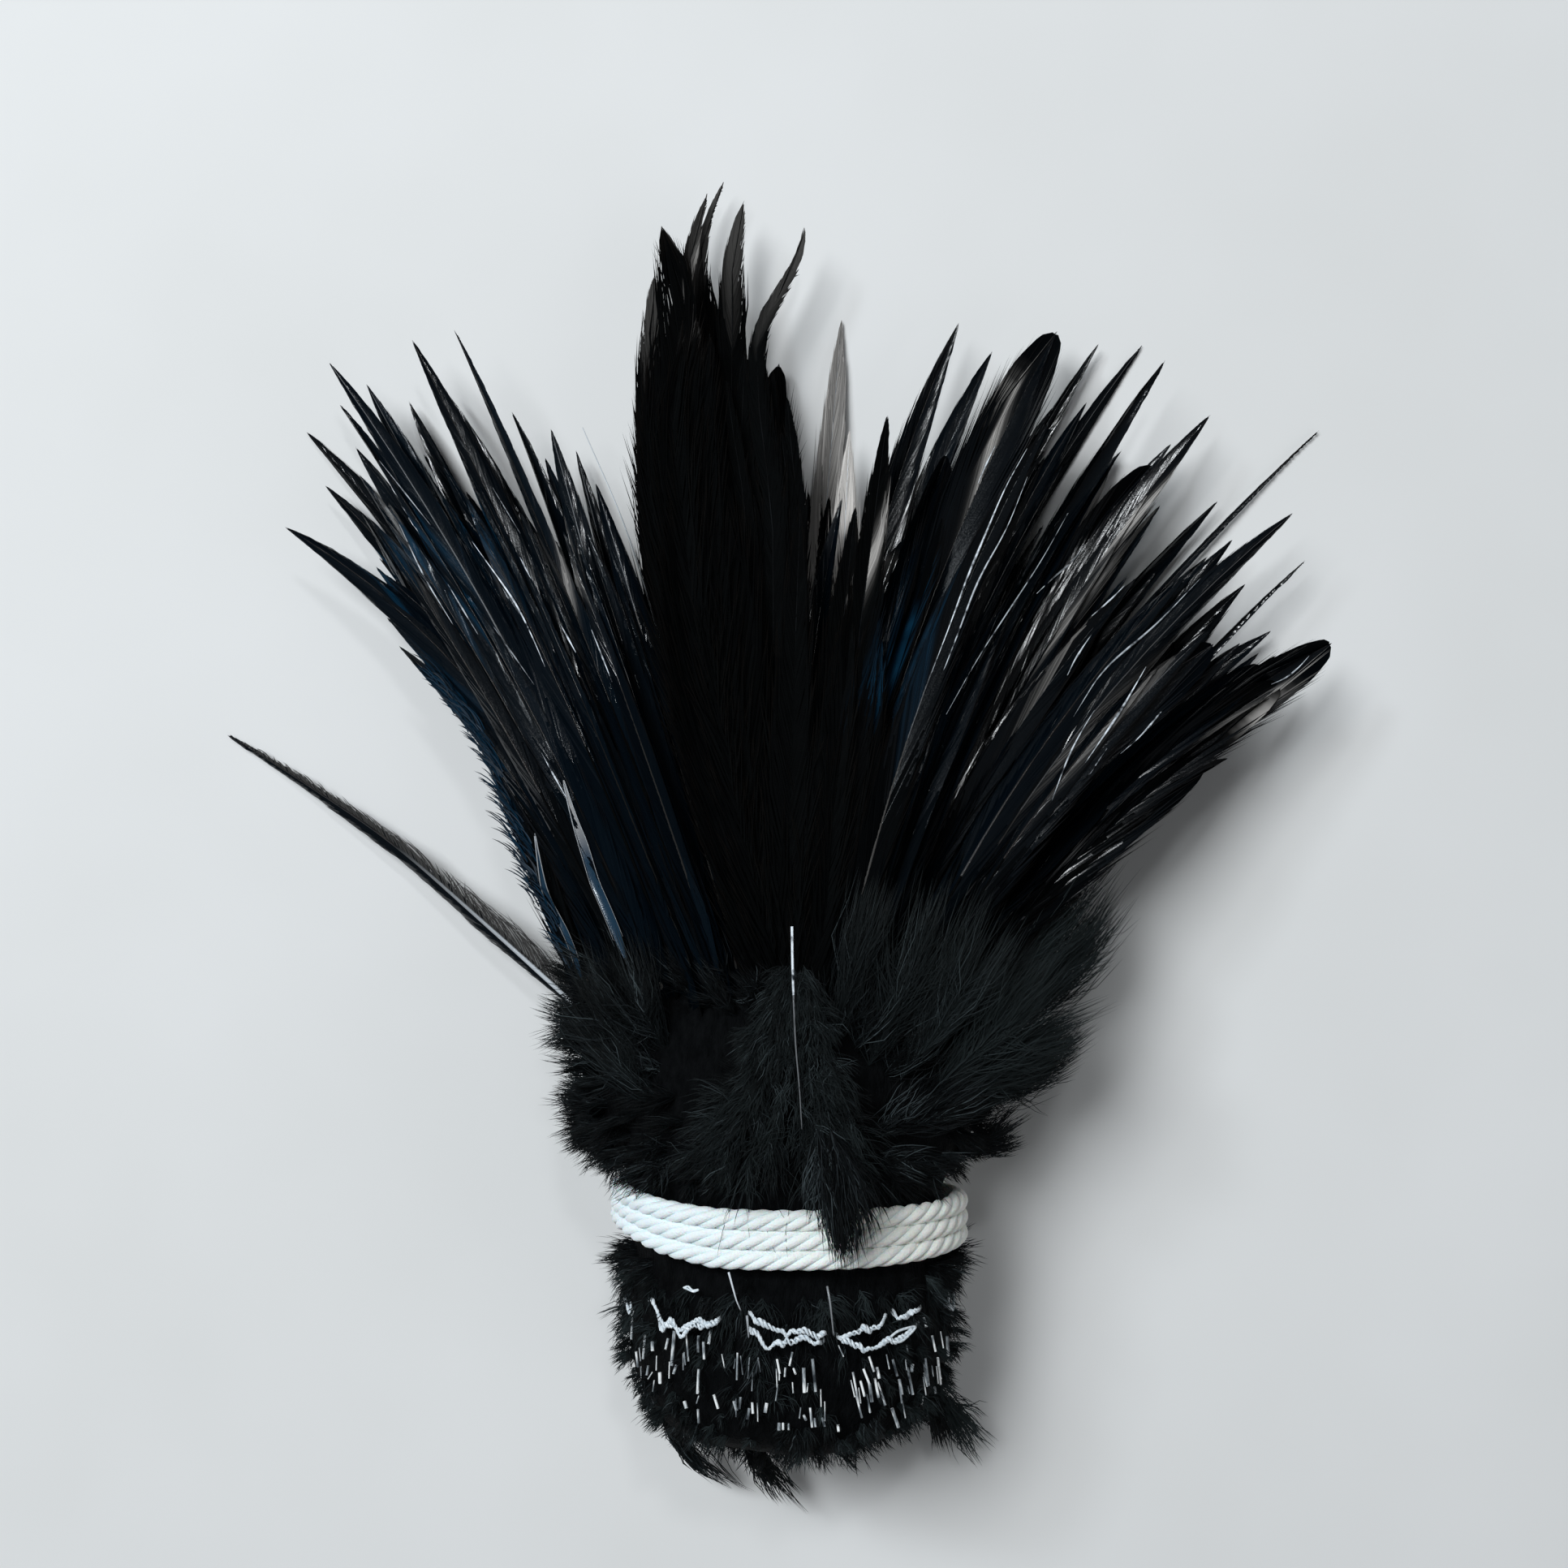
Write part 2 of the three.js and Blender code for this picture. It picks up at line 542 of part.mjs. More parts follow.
// Joins the last ring to the first, for a thread that runs all the way round
function closedLoop(rings) {
  const sides = rings[0].length;
  const faces = [];
  for (let ring = 0; ring < rings.length; ring += 1) {
    const here = ring * sides;
    const ahead = ((ring + 1) % rings.length) * sides;
    for (let side = 0; side < sides; side += 1) {
      const next = (side + 1) % sides;
      faces.push(here + side, here + next, ahead + next, here + side, ahead + next, ahead + side);
    }
  }
  const geometry = new THREE.BufferGeometry().setFromPoints(rings.flat());
  geometry.setIndex(faces);
  return facingOut(geometry);
}

const bunch = new THREE.Group();

function addPiece(name, geometry, color, roughness) {
  const material = new THREE.MeshStandardMaterial({ color, roughness, metalness: 0 });
  const mesh = new THREE.Mesh(geometry, material);
  mesh.name = name;
  bunch.add(mesh);
}

let neighbour = 0;
for (const group of FAN) {
  group.blades.forEach((blade, i) => {
    const name = `hackle_${group.name}_${String(i + 1).padStart(2, '0')}`;
    addPiece(name, hackleBlade(blade, neighbour), COLORS.vane, 0.35);
    neighbour += 1;
  });
}
addPiece('stray_hackle', strayHackle(), COLORS.vane, 0.35);
addPiece('turned_feather', turnedFeather(), COLORS.down, 0.8);
addPiece('packed_quills_and_down', packedQuillsAndDown(), COLORS.down, 0.9);
addPiece('tie_cord', tieCord(), COLORS.cord, 0.85);
addPiece('stitch_thread', stitchThread(), COLORS.thread, 0.8);

export default bunch;
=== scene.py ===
"""A bunch of strung rooster hackle, dyed black: rolled up, tied with white cotton cord and lying down.

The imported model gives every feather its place. +Y is towards the tips of the fan and +Z is up. Tables give
places in millimetres and headings in degrees from +X, and the finished pieces are in metres.
"""

import json
import math

import bpy
import numpy as np
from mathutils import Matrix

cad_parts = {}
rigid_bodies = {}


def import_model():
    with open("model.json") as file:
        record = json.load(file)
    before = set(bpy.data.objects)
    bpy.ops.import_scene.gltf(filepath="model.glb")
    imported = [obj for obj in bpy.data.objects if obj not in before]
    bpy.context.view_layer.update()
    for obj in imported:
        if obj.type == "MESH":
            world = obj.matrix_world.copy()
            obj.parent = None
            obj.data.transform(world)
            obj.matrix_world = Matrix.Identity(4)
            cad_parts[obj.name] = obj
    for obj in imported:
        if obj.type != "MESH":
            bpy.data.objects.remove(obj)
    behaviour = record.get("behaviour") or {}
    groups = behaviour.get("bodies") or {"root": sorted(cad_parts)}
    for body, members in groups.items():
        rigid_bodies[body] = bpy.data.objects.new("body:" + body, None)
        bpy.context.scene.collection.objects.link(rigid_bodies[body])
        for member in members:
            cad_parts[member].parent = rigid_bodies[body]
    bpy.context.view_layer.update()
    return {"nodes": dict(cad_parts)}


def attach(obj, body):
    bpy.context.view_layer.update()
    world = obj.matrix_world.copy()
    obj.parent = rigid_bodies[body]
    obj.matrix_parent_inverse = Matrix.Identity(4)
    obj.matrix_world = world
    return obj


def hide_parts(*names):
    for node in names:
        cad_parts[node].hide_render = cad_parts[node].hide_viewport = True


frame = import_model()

MM = 0.001


# The view and the floor: the bunch lies on a plain pale floor and is seen from straight above. Soft daylight
# comes from the upper left, low enough to leave flat vanes black and to catch the tilted ones.
VIEW_CENTRE = (-0.7 * MM, 37.5 * MM)
VIEW_HEIGHT = 300 * MM
SENSOR_WIDTH = 36
LENS = 48.3
FLOOR_SIZE = 3
FLOOR_DROP = 0.05 * MM
# name, place, size and power of each light, its colour, and whether it shows in reflections
LIGHTS = [
    ("daylight", (-0.46, 0.42, 1.0), 0.45, 11.5, (0.93, 0.97, 1.0), False),
    ("window", (-0.80, 0.62, 0.92), 0.17, 3.6, (0.86, 0.94, 1.0), True),
    ("far_window", (0.10, 0.62, 1.05), 0.10, 1.5, (0.93, 0.97, 1.0), True),
    ("room", (0.9, -0.6, 0.7), 0.9, 2.2, (0.95, 0.97, 1.0), False),
]
SKY_COLOUR = (0.92, 0.96, 1.0)
SKY_STRENGTH = 0.07


def deselect():
    bpy.ops.object.select_all(action="DESELECT")


def new_material(name, roughness, specular):
    """A principled material with its tree and its shader."""
    material = bpy.data.materials.new(name)
    material.use_nodes = True
    shader = material.node_tree.nodes["Principled BSDF"]
    shader.inputs["Roughness"].default_value = roughness
    shader.inputs["Specular IOR Level"].default_value = specular
    return material, material.node_tree, shader


def noise(tree, scale, stretch=(1, 1, 1), detail=3):
    """Noise on Object coordinates: scale in lumps a metre, and stretch as how much finer it is each way."""
    place = tree.nodes.new("ShaderNodeTexCoord")
    mapping = tree.nodes.new("ShaderNodeMapping")
    mapping.inputs["Scale"].default_value = stretch
    texture = tree.nodes.new("ShaderNodeTexNoise")
    for name, value in (("Scale", scale), ("Detail", detail), ("Roughness", 0.55)):
        texture.inputs[name].default_value = value
    tree.links.new(place.outputs["Object"], mapping.inputs["Vector"])
    tree.links.new(mapping.outputs["Vector"], texture.inputs["Vector"])
    return texture.outputs["Fac"]


def ramp(tree, value, *stops):
    """A colour ramp over value, with stops as (position, colour)."""
    node = tree.nodes.new("ShaderNodeValToRGB")
    elements = node.color_ramp.elements
    while len(elements) < len(stops):
        elements.new(0.5)
    for element, (position, colour) in zip(elements, stops):
        element.position = position
        element.color = (*colour, 1)
    tree.links.new(value, node.inputs["Fac"])
    return node.outputs["Color"]


camera = bpy.data.objects.new("camera", bpy.data.cameras.new("camera"))
camera.data.sensor_width = SENSOR_WIDTH
camera.data.lens = LENS
camera.location = (*VIEW_CENTRE, VIEW_HEIGHT)
bpy.context.scene.collection.objects.link(camera)
bpy.context.scene.camera = camera

deselect()
bpy.ops.mesh.primitive_plane_add(size=FLOOR_SIZE, location=(0, 0, -FLOOR_DROP))
floor = bpy.context.object
floor.name = "floor"
floor_paint, tree, shader = new_material("floor_paint", 0.6, 0.3)
floor_colour = ramp(tree, noise(tree, 14), (0.3, (0.70, 0.70, 0.69)), (0.7, (0.74, 0.74, 0.735)))
tree.links.new(floor_colour, shader.inputs["Base Color"])
floor.data.materials.append(floor_paint)

for name, place, size, power, colour, glossy in LIGHTS:
    light = bpy.data.lights.new(name, "AREA")
    light.size = size
    light.energy = power
    light.color = colour
    lamp = bpy.data.objects.new(name, light)
    lamp.location = place
    lamp.visible_glossy = glossy
    toward = np.array([*VIEW_CENTRE, 0]) - np.array(place)
    pan = math.atan2(toward[1], toward[0]) - math.pi / 2
    tip = math.atan2(math.hypot(toward[0], toward[1]), -toward[2])
    lamp.rotation_euler = (tip, 0, pan)
    bpy.context.scene.collection.objects.link(lamp)

sky = bpy.data.worlds.new("sky")
sky.use_nodes = True
sky.node_tree.nodes["Background"].inputs["Color"].default_value = (*SKY_COLOUR, 1)
sky.node_tree.nodes["Background"].inputs["Strength"].default_value = SKY_STRENGTH
bpy.context.scene.world = sky
bpy.context.scene.view_settings.view_transform = "Standard"


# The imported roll: the lower halves of some hundreds of feathers, rolled up tight with their quills and
# down. It is a soft dark body, squeezed in under the cord and by the stitches, and flat where it rests.
# y, half-width, lowest and highest z of its sections
ROLL_SECTIONS = [
    (-50.0, 12.0, 9.0, 27.0),
    (-48.0, 16.0, 5.0, 31.5),
    (-44.0, 19.5, 1.0, 34.6),
    (-38.0, 21.6, -1.4, 35.6),
    (-33.6, 22.2, -1.4, 35.8),
    (-31.5, 21.4, 1.2, 35.0),
    (-29.4, 21.9, -1.0, 35.6),
    (-26.4, 21.4, 0.4, 35.2),
    (-25.0, 20.4, 2.6, 34.9),
    (-15.0, 20.4, 2.6, 34.9),
    (-13.2, 22.2, 0.0, 35.6),
    (-8.0, 25.2, -1.4, 36.2),
    (0.0, 26.6, -1.8, 36.2),
    (7.0, 26.8, -1.4, 35.4),
    (11.0, 25.0, 2.0, 33.4),
    (12.6, 20.0, 6.0, 29.0),
]
ROLL_SIDES = 40
ROLL_FLAT = 0.1
# how far its lumps stand out, how big they are, and the grey level of the noise that stays in place
ROLL_LUMP = 1.3
ROLL_LUMP_SIZE = 5.0
ROLL_LUMP_LEVEL = 0.6


def bump(tree, shader, height, depth):
    """Raises the surface by height times depth, in metres."""
    node = tree.nodes.new("ShaderNodeBump")
    node.inputs["Distance"].default_value = depth
    tree.links.new(height, node.inputs["Height"])
    tree.links.new(node.outputs["Normal"], shader.inputs["Normal"])


def finished(piece, name, slot, *nodes):
    """Names a piece, lets it ride on the bunch, and hides the nodes that it stands for. Its slot is not used.
    """
    piece.name = name
    piece.data.name = name
    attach(piece, "root")
    if nodes:
        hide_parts(*nodes)


deselect()
bpy.ops.mesh.primitive_circle_add(
    vertices=ROLL_SIDES, radius=MM, fill_type="NGON", rotation=(math.pi / 2, 0, 0))
roll = bpy.context.object
bpy.ops.object.transform_apply(location=False, rotation=True, scale=True)
bpy.ops.object.mode_set(mode="EDIT")
bpy.ops.mesh.select_all(action="SELECT")
y, half, low, high = ROLL_SECTIONS[0]
bpy.ops.transform.resize(value=(half, 1, (high - low) / 2), center_override=(0, 0, 0))
bpy.ops.transform.translate(value=(0, y * MM, (high + low) / 2 * MM))
for (y0, half0, low0, high0), (y1, half1, low1, high1) in zip(ROLL_SECTIONS, ROLL_SECTIONS[1:]):
    rise = (high1 + low1 - high0 - low0) / 2
    bpy.ops.mesh.extrude_region_move(TRANSFORM_OT_translate={"value": (0, (y1 - y0) * MM, rise * MM)})
    centre = (0, y1 * MM, (high1 + low1) / 2 * MM)
    growth = (half1 / half0, 1, (high1 - low1) / (high0 - low0))
    bpy.ops.transform.resize(value=growth, center_override=centre)
bpy.ops.mesh.select_all(action="SELECT")
bpy.ops.mesh.normals_make_consistent(inside=False)
bpy.ops.object.mode_set(mode="OBJECT")
smoothing = roll.modifiers.new("smoothing", "SUBSURF")
smoothing.levels = smoothing.render_levels = 2
lumps = bpy.data.textures.new("lumps", "CLOUDS")
lumps.noise_scale = ROLL_LUMP_SIZE * MM
lumpy = roll.modifiers.new("lumpy", "DISPLACE")
lumpy.texture = lumps
lumpy.texture_coords = "LOCAL"
lumpy.strength = ROLL_LUMP * MM
lumpy.mid_level = ROLL_LUMP_LEVEL
for modifier in (smoothing.name, lumpy.name):
    bpy.ops.object.modifier_apply(modifier=modifier)
bpy.ops.object.mode_set(mode="EDIT")
bpy.ops.mesh.select_all(action="SELECT")
bpy.ops.mesh.bisect(plane_co=(0, 0, ROLL_FLAT * MM), plane_no=(0, 0, 1), use_fill=True, clear_inner=True)
bpy.ops.object.mode_set(mode="OBJECT")
bpy.ops.object.shade_smooth()
packed_down, tree, shader = new_material("packed_black_down", 0.92, 0.12)
mottle = noise(tree, 900, (1, 0.45, 1), detail=5)
tree.links.new(ramp(tree, mottle, (0.3, (0.001, 0.0012, 0.0014)), (0.75, (0.004, 0.0045, 0.005))),
               shader.inputs["Base Color"])
bump(tree, shader, noise(tree, 2600, (1, 0.3, 1)), 0.5 * MM)
roll.data.materials.append(packed_down)
finished(roll, "packed_roll", "down", "packed_quills_and_down")


# The hackle blades: each shown blade of the fan is a long feather from a rooster's neck, a dark shaft
# with hundreds of glossy barbs, dyed black. Shorter feathers lie beside it. All of them come out of the
# down ruff, where they are stitched side by side and rolled.

# For each group of blades: quill is how thick a shaft is at its root, bare how silvery it is there and shine
# how much painted glint its colour gets; slant is the barbs' angle to it, fold how far both halves of a vane
# lean down, roll how far a feather turns to a side, ragged how uneven the barbs' tips are, ruffle and jitter
# how they stray, web how much of the vane's width clings together, and blue how blue it gets. beside is how
# many shorter feathers lie by each blade, moved aside by about that much but never left of the x at edge,
# with wide and reach as the shares of its width and length that they have.
GROUPS = {
    "left": dict(
        quill=0.5, bare=0.03, shine=0.1, slant=0.15, fold=(0.3, 0.8), roll=0.4, ragged=0.07, ruffle=0.02,
        jitter=0.08, web=0.8, blue=0.11, beside=8, aside=4.5, edge=-90, wide=0.85, reach=(0.5, 0.93),
        glossy=True,
    ),
    "crown": dict(
        quill=0.36, bare=0.0, shine=0.0, slant=0.22, fold=(0.1, 0.3), roll=0.15, ragged=0.14, ruffle=0.1,
        jitter=0.1, web=0.55, blue=0.0, beside=8, aside=4.0, edge=-17.5, wide=1.1, reach=(0.6, 0.9),
        glossy=False,
    ),
    "right": dict(
        quill=0.46, bare=0.03, shine=0.1, slant=0.15, fold=(0.3, 0.8), roll=0.45, ragged=0.07, ruffle=0.02,
        jitter=0.07, web=0.8, blue=0.05, beside=7, aside=4.5, edge=-90, wide=0.85, reach=(0.5, 0.93),
        glossy=True,
    ),
}
# The barbs of a shown blade, and of the shorter feathers beside it
SHOWN_BARBS = dict(spacing=0.40 * MM, steps=3, splits=7, barb_width=0.24)
BESIDE_BARBS = dict(spacing=0.62 * MM, steps=2, splits=5, barb_width=0.32)
# how far the shorter feathers are raised or lowered, the share of a blade that they have at least, and
# how many places are tried for one that would stand out of the fan
BESIDE_LIFT = 0.5
BESIDE_SHORTEST = 0.35
BESIDE_TRIES = 4
# How far back and down the roots go into the roll
ROOT_INSIDE = (7 * MM, 5 * MM)
# The fan's closed body, x and y: the shorter feathers end inside it
FAN_BODY = [
    (-33, 0), (-34, 15), (-41, 31), (-47, 44), (-54, 58), (-60, 72), (-60, 79), (-56, 84), (-49, 84),
    (-45, 79), (-40, 79), (-35, 73), (-29, 74), (-25, 68), (-21.5, 68), (-20.5, 92), (-20, 100),
    (-18.6, 103), (-16.6, 103), (-15.5, 107), (-12, 109), (-8, 107), (-6.5, 100), (-3, 96.5), (-1, 94.5),
    (2, 90), (4, 82), (8, 78), (10, 74), (12, 78), (16, 82), (20, 86), (24, 89), (30, 91), (36, 94),
    (41, 86), (45, 84), (49, 80), (52, 75), (50, 68), (55, 67), (59, 65), (57, 57), (64, 56), (69, 55),
    (67, 50), (60, 41), (47, 24), (42, 14), (34, 0),
]
# Crown blades whose tips bend or lean: x, y and half-width of the middle line up to the tip
CURVED_TIPS = {
    "hackle_crown_02": [(-19.2, 99, 2.0), (-19.3, 104, 1.4), (-19.2, 107, 0.8), (-18.9, 109.4, 0)],
    "hackle_crown_03": [(-16.6, 84, 4.0), (-16.0, 91, 4.4), (-15.4, 96, 4.0), (-14.4, 101.9, 3.2),
                        (-14.7, 105.4, 2.7), (-15.6, 107.9, 2.6), (-16.5, 110.4, 2.4), (-17.1, 112.6, 1.5),
                        (-17.6, 114.4, 0)],
    "hackle_crown_04": [(-13.2, 102, 2.0), (-14.0, 108.4, 1.6), (-13.8, 110.9, 1.3), (-13.3, 113.8, 1.0),
                        (-12.6, 116.4, 0.6), (-11.8, 118.5, 0.35), (-11.3, 120.6, 0)],
    "hackle_crown_05": [(-11.6, 102, 1.9), (-12.6, 108, 1.5), (-12.4, 111.9, 1.0), (-11.9, 114.4, 0.8),
                        (-11.2, 117, 0.6), (-10.4, 119.1, 0.45), (-9.6, 121, 0.3), (-9, 122.6, 0)],
    "hackle_crown_06": [(-7.8, 98, 2.2), (-8.0, 103, 1.9), (-8.0, 107, 1.7), (-7.7, 111.5, 1.4),
                        (-7.1, 114, 1.0), (-6.6, 116.6, 0.5), (-6.2, 118.7, 0)],
    "hackle_crown_08": [(-2.2, 72, 2.2), (-3.0, 80, 2.0), (-4.0, 88, 1.6), (-4.6, 95, 1.4), (-4.2, 99, 1.3),
                        (-3.3, 101.5, 1.2), (-2.3, 103.6, 1.1), (-0.8, 106.2, 1.0), (0.6, 108.7, 0.8),
                        (1.7, 111.5, 0.5), (2.1, 114.6, 0)],
}
# how far below such a tip the blade's own sections end
CURVE_GAP = 3
# All but one of those tips are thin and brown: how pale they get, and over what length
BLACK_TIP = "hackle_crown_03"
TIP_PALE = 0.1
TIP_FADE = 16
# Blades that the dye left pale, and how pale. Their barbs lie close to the shaft, and the palest have a
# narrow web. Where a vane is pale, its barbs are so unevenly.
PALE = {"hackle_crown_09": 0.34, "hackle_crown_10": 1.0, "hackle_right_07": 0.07}
PALE_SLANT = 0.12
PALE_WEB = 0.35
PALE_UNEVEN = 0.3
# Painted blue sheen, in the middle of the right group, along the left edge and at the left tips: place and
# size
PAINTED_BLUE_SHEEN_SPOTS = [
    ((16.6, 58.5), 2.0), ((14.6, 54), 2.2), ((12.6, 49.5), 1.8), ((-47.5, 50), 2.4), ((-44.5, 43), 2.4),
    ((-41.5, 36), 2.4), ((-39, 29), 2.2), ((-36.5, 22), 2.0), ((-51, 70), 3.0), ((-43, 62), 2.0),
    ((-43.5, 73.5), 1.4), ((-41, 70), 1.5), ((-38.8, 66.5), 1.4), ((-36.8, 63), 1.2), ((-56, 66), 1.6),
]
# Vanes lie flat towards the window at some places and shine there, and that sheen is painted into their
# colour as pale spots: x, y, heading, half-length, half-width and how bright
PAINTED_SHEEN_SPOTS = [
    (28.6, 90.4, 62, 3.0, 1.1, 0.7), (47.6, 74.0, 50, 4.0, 0.9, 0.6), (12.5, 70.0, 72, 4.0, 0.8, 0.6),
    (65.0, 47.0, 25, 3.6, 1.1, 0.6), (44.4, 47.0, 50, 7.0, 0.5, 0.4), (-30.3, 66.6, 120, 2.6, 0.8, 0.6),
    (-52.3, 71.0, 118, 6.0, 0.4, 0.3), (-35.6, 60.0, 122, 6.0, 0.35, 0.3), (37.0, 58.0, 55, 8.0, 0.3, 0.3),
    (-13.4, 100.5, 96, 3.0, 0.5, 0.3), (-12.9, 111.0, 75, 1.5, 0.4, 0.5),
]
# Near the ruff the barbs are limp and matt: the height up the fan that this reaches, by x, and how unevenly
DULL_BELOW = ([-40, -33, -27, -20, 3, 12, 18, 25], [27, 34, 46, 62, 55, 45, 34, 27])
DULL_RAGGED = 5
# The places of the three finishes among a feather's materials
BARBS, QUILL, DULL = 0, 1, 2
# how wide a ribbon is along it, as a share of its width, and how deep a web lies under its barbs
RIBBON_TAPER = ([0, 0.35, 0.8, 1], [0.8, 1.0, 0.75, 0.5])
WEB_DEPTH = 0.08


def unit(vectors):
    return vectors / np.maximum(np.linalg.norm(vectors, axis=-1, keepdims=True), 1e-12)


def run_along(points):
    """How far each of a row of points is from the first, along the row."""
    return np.concatenate([[0], np.cumsum(np.linalg.norm(np.diff(points, axis=0), axis=1))])


class Line:
    """A smooth line through points, with its heading, the way across it and its upper side."""

    def __init__(self, points, roll=0.0, twist=0.0, samples=60):
        points = np.asarray(points, float)
        padded = np.vstack([2 * points[0] - points[1], points, 2 * points[-1] - points[-2]])
        spans = len(points) - 1
        at = np.linspace(0, spans, samples)
        i = np.minimum(at.astype(int), spans - 1)
        t = (at - i)[:, None]
        a, b, c, d = (padded[i + k] for k in range(4))
        self.place = 0.5 * (2 * b + (c - a) * t + (2 * a - 5 * b + 4 * c - d) * t**2
                            + (3 * b - a - 3 * c + d) * t**3)
        run = run_along(self.place)
        self.length = run[-1]
        self.share = run / run[-1]
        self.heading = unit(np.gradient(self.place, axis=0))
        across = unit(np.cross(self.heading, (0, 0, 1)))
        upper = np.cross(across, self.heading)
        turn = (roll + twist * self.share)[:, None]
        self.across = across * np.cos(turn) + upper * np.sin(turn)
        self.upper = upper * np.cos(turn) - across * np.sin(turn)

    def at(self, share):
        """Place, heading, way across and upper side at shares of the line's length."""
        def read(values):
            return np.stack([np.interp(share, self.share, column) for column in values.T], axis=1)
        return read(self.place), unit(read(self.heading)), unit(read(self.across)), unit(read(self.upper))


def ribbons(root, bend, tip, width, upper, upper_tip, steps, sway=0.0, **looks):
    """Tapered ribbons, one for each root. Each curves past its bend to its tip, and its upper side turns."""
    count = len(root)
    points = 2 * steps + 1
    t = np.linspace(0, 1, steps + 1)[:-1]
    corners = np.stack([root, bend, tip])
    middle = np.einsum("sk,kni->nsi", np.stack([(1 - t) ** 2, 2 * t * (1 - t), t**2], axis=1), corners)
    middle = middle + np.broadcast_to(sway, root.shape)[:, None, :] * np.sin(2.4 * math.pi * t)[None, :, None]
    heading = np.einsum("sk,kni->nsi", np.stack([-2 * (1 - t), 2 - 4 * t, 2 * t], axis=1), corners)
    facing = upper[:, None, :] * (1 - t)[None, :, None] + upper_tip[:, None, :] * t[None, :, None]
    taper = np.interp(t, *RIBBON_TAPER)
    half = 0.5 * width[:, None, None] * taper[None, :, None] * unit(np.cross(heading, facing))
    pairs = np.stack([middle - half, middle + half], axis=2).reshape(count, 2 * steps, 3)
    face = []
    for k in range(steps - 1):
        face += [2 * k, 2 * k + 1, 2 * k + 3, 2 * k + 2]
    face += [2 * steps - 2, 2 * steps - 1, 2 * steps]
    # on the flat map the ribbons lie in rows and columns of narrow cells
    along = np.concatenate([np.repeat(t, 2), [1]])
    beside = np.concatenate([np.tile([-0.45, 0.45], steps), [0.0]])
    columns = max(1, int(math.sqrt(count / 24)))
    cell = np.arange(count)
    u = (cell % columns)[:, None] + 0.04 + 0.92 * along[None, :]
    v = (cell // columns)[:, None] + 0.5 + beside[None, :]
    return {
        "places": np.concatenate([pairs, tip[:, None, :]], axis=1).reshape(-1, 3),
        "corners": (np.array(face)[None, :] + (cell * points)[:, None]).ravel(),
        "sizes": np.tile([4] * (steps - 1) + [3], count),
        "flat": np.stack([u / columns, v / math.ceil(count / columns)], axis=2).reshape(-1, 2),
        "looks": {**{name: np.repeat(value, points) for name, value in looks.items()},
                  "along": np.tile(along, count)},
        "finish": BARBS,
    }


def pipe(middle, ways, radius, share, sides, closed=False, finish=BARBS, **looks):
    """A round strand about a row of middles, spanned by two ways across it, with ends or closed."""
    count = len(middle)
    angle = np.arange(sides) * 2 * math.pi / sides
    ring = np.cos(angle)[None, :, None] * ways[0][:, None] + np.sin(angle)[None, :, None] * ways[1][:, None]
    places = middle[:, None] + ring * np.broadcast_to(radius, count)[:, None, None]
    i, k = np.meshgrid(np.arange(count if closed else count - 1), np.arange(sides), indexing="ij")
    here, there, after = i * sides, (i + 1) % count * sides, (k + 1) % sides
    corners = np.stack([here + k, here + after, there + after, there + k], axis=2).reshape(-1)
    sizes = [4] * i.size
    if not closed:
        corners = np.concatenate([corners, np.arange(sides)[::-1], np.arange(sides) + (count - 1) * sides])
        sizes += [sides, sides]
    u, v = np.meshgrid(share, np.arange(sides) / sides, indexing="ij")
    return {
        "places": places.reshape(-1, 3), "corners": corners, "sizes": np.array(sizes),
        "flat": np.stack([u, v], axis=2).reshape(-1, 2),
        "looks": {name: np.repeat(np.broadcast_to(value, count), sides) for name, value in looks.items()},
        "finish": finish,
    }


def shaft(line, first, last, thick, thin, finish=QUILL, sides=5, rings=14, blue=0.0, pale=0.0, bare=0.0):
    """A tapered quill along a line, from share first to share last."""
    place = np.linspace(first, last, rings)
    middle, _, across, upper = line.at(place)
    return pipe(middle, (across, upper), np.interp(place, [first, last], [thick / 2, thin / 2]),
                (place - first) / (last - first), sides, finish=finish, blue=blue, pale=pale, bare=bare,
                along=0.0, place=place, shade=0.0)


